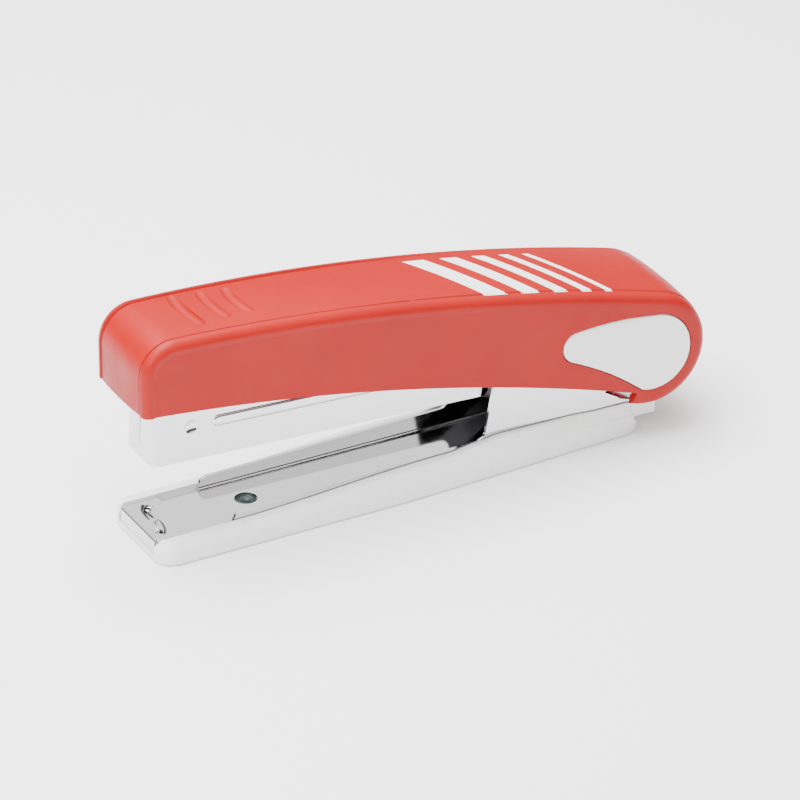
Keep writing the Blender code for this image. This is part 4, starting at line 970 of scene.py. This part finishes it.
class STAPLER_OT_channel(bpy.types.Operator):
    """Build the bright base channel with bent flanges and hinge ears"""

    bl_idname = "stapler.channel"
    bl_label = "Base channel"

    def execute(self, context):
        sizes = context.scene.stapler_sizes
        sheet = PLATE_TOP - PLATE_LOW
        half = CHANNEL_HALF
        bend = sizes.sheet_bend

        def lower_corner(edge):
            a, b = edge.verts
            flat = abs(a.co.z - PLATE_LOW) < MERGE and abs(b.co.z - PLATE_LOW) < MERGE
            return flat and abs(a.co.y - b.co.y) < MERGE and abs(a.co.x - b.co.x) > MM

        data = prism(channel_outline(), -half, half)
        round_edges(data, bend, lower_corner, 8)
        item = scratch_object(data)
        inner = half - sheet
        room = block((-80 * MM, -inner, PLATE_TOP), (90 * MM, inner, 60 * MM), bend - sheet * 0.6,
                     lambda edge: all(abs(vert.co.z - PLATE_TOP) < MERGE for vert in edge.verts)
                     and abs(edge.verts[0].co.y - edge.verts[1].co.y) < MERGE, 6)
        cutters = [room]
        for side in (-1, 1):
            low, high = sorted((side * TONGUE_HALF, side * (half + PASS)))
            cutters.append(block((-80 * MM, low, 0.0), (FLANGE_FRONT, high, PLATE_TOP + PASS)))
        reach = half + PASS
        cutters.append(rod((HINGE.x, -reach, HINGE.z), (HINGE.x, reach, HINGE.z), PIN_HOLE_R))
        holes = [(name, 3.1 * MM) for name in SOLE_RIVETS] + [("return_leaf_rivet", 1.8 * MM)]
        for name, radius in holes:
            x = middle(name).x
            cutters.append(rod((x, 0, 0), (x, 0, PLATE_TOP + PASS), radius))
        carve(item, cutters)
        soften(item, sizes.sheet_edge, 3)
        finish_piece(item, "channel", "base", "chrome", "base_channel")
        return {"FINISHED"}


class STAPLER_OT_anvil(bpy.types.Operator):
    """Build the anvil saddle with its two skewed clinching pockets"""

    bl_idname = "stapler.anvil"
    bl_label = "Anvil"

    def execute(self, context):
        (x0, y0, z0), (x1, y1, top) = ANVIL
        front = x0 - ANVIL_SHEET

        def upper(edge):
            on_top = all(abs(vert.co.z - top) < MERGE for vert in edge.verts)
            return on_top and not all(abs(vert.co.x - x1) < MERGE for vert in edge.verts)

        data = block((front, y0, 1.9 * MM), (x1, y1, top), 1.0 * MM, upper, 8)
        item = scratch_object(data)
        inner = TONGUE_HALF + GAP
        cutters = [block((x0, -inner, 0.0), (x1 + PASS, inner, top - ANVIL_SHEET)),
                   block((front - PASS, -y1 - PASS, 0.0), (x1 + PASS, -inner + 0.05 * MM, z0)),
                   block((front - PASS, inner - 0.05 * MM, 0.0), (x1 + PASS, y1 + PASS, z0))]
        for side in (-1, 1):
            low, high = sorted((side * (inner - 0.1 * MM), side * (y1 + PASS)))
            cutters.append(block((front - PASS, low, 0.0), (x0 + 0.4 * MM, high, top + PASS),
                                 0.5 * MM, lambda edge: True, 3))
        cutters += [self.pocket(side, top) for side in (-1, 1)]
        carve(item, cutters)
        soften(item, 0.10 * MM)
        finish_piece(item, "anvil", "anvil", "chrome", "anvil_saddle")
        return {"FINISHED"}

    def pocket(self, side, top):
        """A curved round-bottomed groove, deepest where the staple's leg lands."""
        radius, half_span = 1.5 * MM, 3.6 * MM
        data = swept_bar(radius, half_span, 0.9 * MM, 20, 14)
        for vert in data.verts:
            outer_share = 0.5 + side * vert.co.y / (2 * half_span)
            vert.co.z += (1 - outer_share) * 0.5 * MM
            vert.co.x = side * vert.co.x * (0.7 + 0.45 * outer_share)
        skew = Matrix.Rotation(math.radians(-16.0), 3, "Z")
        bmesh.ops.rotate(data, verts=data.verts[:], matrix=skew)
        bmesh.ops.recalc_face_normals(data, faces=data.faces[:])
        place = (ANVIL[0].x + 3.9 * MM, side * 4.1 * MM, top + radius * 0.3)
        bmesh.ops.translate(data, verts=data.verts[:], vec=place)
        return data


class STAPLER_OT_rivets(bpy.types.Operator):
    """Build the two cupped rivets that hold the channel to the sole"""

    bl_idname = "stapler.rivets"
    bl_label = "Rivets"

    def execute(self, context):
        for node in SOLE_RIVETS:
            low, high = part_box(node)
            radius = (high.x - low.x) / 2
            top = high.z
            shank = 1.6 * MM
            rim = arc((radius - 0.35 * MM, top - 0.35 * MM), 0.35 * MM, 0.0, math.pi / 2, 6)
            cup = arc((radius - 1.0 * MM, top + 0.1 * MM), 0.45 * MM, -0.2, -math.pi / 2, 6)
            profile = ([(0.0, low.z), (shank, low.z), (shank, PLATE_LOW), (radius, PLATE_LOW)]
                       + rim + [(point[0], min(point[1], top)) for point in cup]
                       + [(1.1 * MM, top - 0.42 * MM), (0.7 * MM, top - 0.62 * MM),
                          (0.0, top - 0.68 * MM)])
            item = scratch_object(turned(profile, (middle(node).x, 0.0, 0.0)))
            finish_piece(item, node.removeprefix("shoe_"), "base", "dark_rivet", node, 50.0)
        return {"FINISHED"}


# ================================================================ magazine
def pressed_rib(height, side):
    """A long pressed rib with round ends, standing out of the magazine's side."""
    z_low, z_high = RIB_HEIGHTS
    radius = (z_high - z_low) / 2
    z = (z_high + z_low) / 2

    def ring(inset, out):
        front = arc((RIB_ENDS[0] + radius, z), radius - inset, math.pi / 2, math.pi * 1.5, 16)
        rear = arc((RIB_ENDS[1] - radius, z), radius - inset, -math.pi / 2, math.pi / 2, 16)
        return [(x, side * (MAG_HALF + out), z) for x, z in front + rear]

    data = bmesh.new()
    row = first_row(data, ring(0.0, -0.3 * MM), closed=True)
    data.faces.new(row)
    for inset, out in ((0.0, 0.0), (0.12, 0.3), (0.30, 0.58), (0.55, 0.8), (0.85, 0.95),
                       (1.15, 1.0)):
        row = loft(data, row, ring(inset * MM, out * height), closed=True)
    data.faces.new(row)
    bmesh.ops.recalc_face_normals(data, faces=data.faces[:])
    return data


class STAPLER_OT_magazine(bpy.types.Operator):
    """Build the bright magazine channel with its folded front, dimples and pressed side ribs"""

    bl_idname = "stapler.magazine"
    bl_label = "Magazine"

    def execute(self, context):
        sizes = context.scene.stapler_sizes
        half, wall, low = MAG_HALF, MAG_WALL, MAG_LOW
        start = -math.pi / 2 - math.acos(-MAG_REAR_LOW / MAG_EYE_R)
        outline = [(MAG_FRONT, MAG_EYE_R), (MAG_FRONT, low)]
        outline += arc((MAG_SKIRT_REAR - MAG_SKIRT_R, low + MAG_SKIRT_R), MAG_SKIRT_R,
                       -math.pi / 2, 0.0, 12)
        outline += [(MAG_SKIRT_REAR, MAG_REAR_LOW)]
        outline += arc((0.0, 0.0), MAG_EYE_R, start, math.pi / 2, 40)
        data = prism(outline, -half, half)

        def front_corner(edge):
            a, b = edge.verts
            upright = abs(a.co.x - MAG_FRONT) < MERGE and abs(b.co.x - MAG_FRONT) < MERGE
            return upright and abs(a.co.y - b.co.y) < MERGE

        def lower_edge(edge):
            a, b = edge.verts
            flat = abs(a.co.z - low) < MERGE and abs(b.co.z - low) < MERGE
            return flat and abs(abs(a.co.y) - half) < 2 * MM and abs(abs(b.co.y) - half) < 2 * MM

        round_edges(data, sizes.magazine_bend, front_corner, 8)
        round_edges(data, 1.1 * MM, lower_edge, 6)
        item = scratch_object(data)
        inner = half - wall
        floor = low + wall
        front = MAG_FRONT + MAG_FRONT_WALL
        cutters = [block((front, -inner, floor), (20 * MM, inner, 20 * MM), 1.0 * MM,
                         lambda edge: all(abs(vert.co.x - front) < MERGE for vert in edge.verts)
                         and abs(edge.verts[0].co.y - edge.verts[1].co.y) < MERGE, 6),
                   block((MAG_SKIRT_REAR - GAP, -inner, -20 * MM), (20 * MM, inner, 0.0)),
                   block((front, -inner, -20 * MM), (front + DRIVER_SLOT, inner, 0.0)),
                   rod((0, -20 * MM, 0), (0, 20 * MM, 0), PIN_HOLE_R)]
        for name in RAIL_RIVETS:
            place = middle(name) - HINGE
            x = place.x * math.cos(MAG_TILT) - place.z * math.sin(MAG_TILT)
            cutters.append(rod((x, 0, -20 * MM), (x, 0, floor + 2 * MM), 1.5 * MM))
        seam = [(MAG_FRONT - PASS, y, z) for y, z in (
            (-0.36 * MM, 12 * MM), (0.36 * MM, 12 * MM), (0.07 * MM, SEAM_FOOT),
            (-0.07 * MM, SEAM_FOOT))]
        cutters.append(raised(seam, (PASS + 0.45 * MM, 0.0, 0.0)))
        for side in (-1, 1):
            place = (DIMPLE[0], side * (half + 1.35 * MM), DIMPLE[1])
            cutters.append(ball(place, sizes.dimple_ball, 0.72))
        carve(item, cutters)
        carve(item, [pressed_rib(sizes.rib_height, side) for side in (-1, 1)], "UNION")
        soften(item, 0.10 * MM, 3, 36.0)
        data = bmesh.new()
        data.from_mesh(item.data)
        to_row(data, MAG_TILT).to_mesh(item.data)
        data.free()
        finish_piece(item, "magazine", "magazine", "chrome", "magazine_channel")
        return {"FINISHED"}


class STAPLER_OT_inner_pieces(bpy.types.Operator):
    """Give the pieces that the frame already holds their finishes"""

    bl_idname = "stapler.inner_pieces"
    bl_label = "Inner pieces"

    def execute(self, context):
        slots = {part["node"]: part["material_slot"] for part in frame["record"]["subparts"]}
        for name, item in frame["nodes"].items():
            if item.hide_render:
                continue
            item.data.materials.clear()
            item.data.materials.append(material_of(slots[name]))
        return {"FINISHED"}


# ================================================================ stage
def soft_light(name, place, target, size, power):
    """A square softbox that faces a point."""
    lamp = bpy.data.lights.new(name, "AREA")
    lamp.shape = "RECTANGLE"
    lamp.size, lamp.size_y = size
    lamp.energy = power
    item = bpy.data.objects.new(name, lamp)
    bpy.context.scene.collection.objects.link(item)
    item.location = place
    aim = Vector(target) - Vector(place)
    item.rotation_euler = aim.to_track_quat("-Z", "Y").to_euler()
    return item


class STAPLER_OT_stage(bpy.types.Operator):
    """Set the pale floor, the soft lights and the camera"""

    bl_idname = "stapler.stage"
    bl_label = "Stage"

    def execute(self, context):
        scene = context.scene
        for item in list(scene.objects):
            if item.name in ("Cube", "Light", "Camera") and "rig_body" not in item:
                bpy.data.objects.remove(item)
        data = bmesh.new()
        bmesh.ops.create_grid(data, x_segments=1, y_segments=1, size=3.0)
        bmesh.ops.translate(data, verts=data.verts[:], vec=(0.0, 0.0, -0.05 * MM))
        floor = scratch_object(data, "floor")
        paper = Finish("floor_paper", scene.stapler_colours.floor, 0.9)
        paper.use("Roughness", paper.spread(paper.noise(6.0), 0.85, 0.95))
        floor.data.materials.append(paper.material)
        world = bpy.data.worlds.new("studio")
        world.use_nodes = True
        tree = world.node_tree
        sky = tree.nodes["Background"]
        direction = tree.nodes.new("ShaderNodeTexCoord")
        parts = tree.nodes.new("ShaderNodeSeparateXYZ")
        ramp = tree.nodes.new("ShaderNodeValToRGB")
        tree.links.new(direction.outputs["Generated"], parts.inputs["Vector"])
        tree.links.new(parts.outputs["Z"], ramp.inputs["Fac"])
        tree.links.new(ramp.outputs["Color"], sky.inputs["Color"])
        stops = ramp.color_ramp.elements
        stops[0].position, stops[0].color = 0.12, (0.05, 0.05, 0.055, 1.0)
        stops[1].position, stops[1].color = 0.46, (1.0, 1.0, 1.0, 1.0)
        stops.new(0.34).color = (0.12, 0.12, 0.125, 1.0)
        sky.inputs["Strength"].default_value = 1.9
        scene.world = world
        soft_light("softbox_top", (-0.15, 0.10, 0.75), (0.0, 0.0, 0.03), (0.8, 0.6), 20.0)
        soft_light("softbox_front", (-0.75, -0.35, 0.45), (-0.02, 0.0, 0.04), (0.5, 0.5), 4.0)
        self.camera(scene)
        return {"FINISHED"}

    def camera(self, scene):
        """A long lens from the front left, a little above."""
        turn, rise = math.radians(-28.5), math.radians(29.3)
        across = Vector((math.cos(turn), math.sin(turn), 0.0))
        back = Vector((math.sin(turn) * math.cos(rise), -math.cos(turn) * math.cos(rise),
                       math.sin(rise)))
        up = back.cross(across)
        lens = bpy.data.cameras.new("camera")
        lens.lens = 283.5
        lens.sensor_width = 36.0
        lens.clip_start = 0.05
        item = bpy.data.objects.new("camera", lens)
        scene.collection.objects.link(item)
        place = back * 1.675 + across * 5.105 * MM + up * 20.717 * MM
        turned_to = Matrix((across, up, back)).transposed().to_4x4()
        item.matrix_world = Matrix.Translation(place) @ turned_to
        scene.camera = item


class STAPLER_PT_panel(bpy.types.Panel):
    """Lists the stapler's pieces and sizes"""

    bl_label = "Stapler"
    bl_idname = "STAPLER_PT_panel"
    bl_space_type = "VIEW_3D"
    bl_region_type = "UI"
    bl_category = "Stapler"

    def draw(self, context):
        column = self.layout.column()
        for operator in OPERATORS:
            column.operator(operator.bl_idname)
        for group in (context.scene.stapler_sizes, context.scene.stapler_colours):
            for name in group.__annotations__:
                column.prop(group, name)


OPERATORS = (STAPLER_OT_stage, STAPLER_OT_sole, STAPLER_OT_channel, STAPLER_OT_anvil,
             STAPLER_OT_rivets, STAPLER_OT_magazine, STAPLER_OT_cover, STAPLER_OT_insets,
             STAPLER_OT_inner_pieces)
CLASSES = (StaplerSizes, StaplerColours) + OPERATORS + (STAPLER_PT_panel,)


def register():
    for cls in CLASSES:
        bpy.utils.register_class(cls)
    bpy.types.Scene.stapler_sizes = bpy.props.PointerProperty(type=StaplerSizes)
    bpy.types.Scene.stapler_colours = bpy.props.PointerProperty(type=StaplerColours)


def unregister():
    del bpy.types.Scene.stapler_colours
    del bpy.types.Scene.stapler_sizes
    for cls in reversed(CLASSES):
        bpy.utils.unregister_class(cls)


def main():
    """Build every piece."""
    register()
    for operator in OPERATORS:
        group, name = operator.bl_idname.split(".")
        getattr(getattr(bpy.ops, group), name)()


if __name__ == "__main__":
    main()
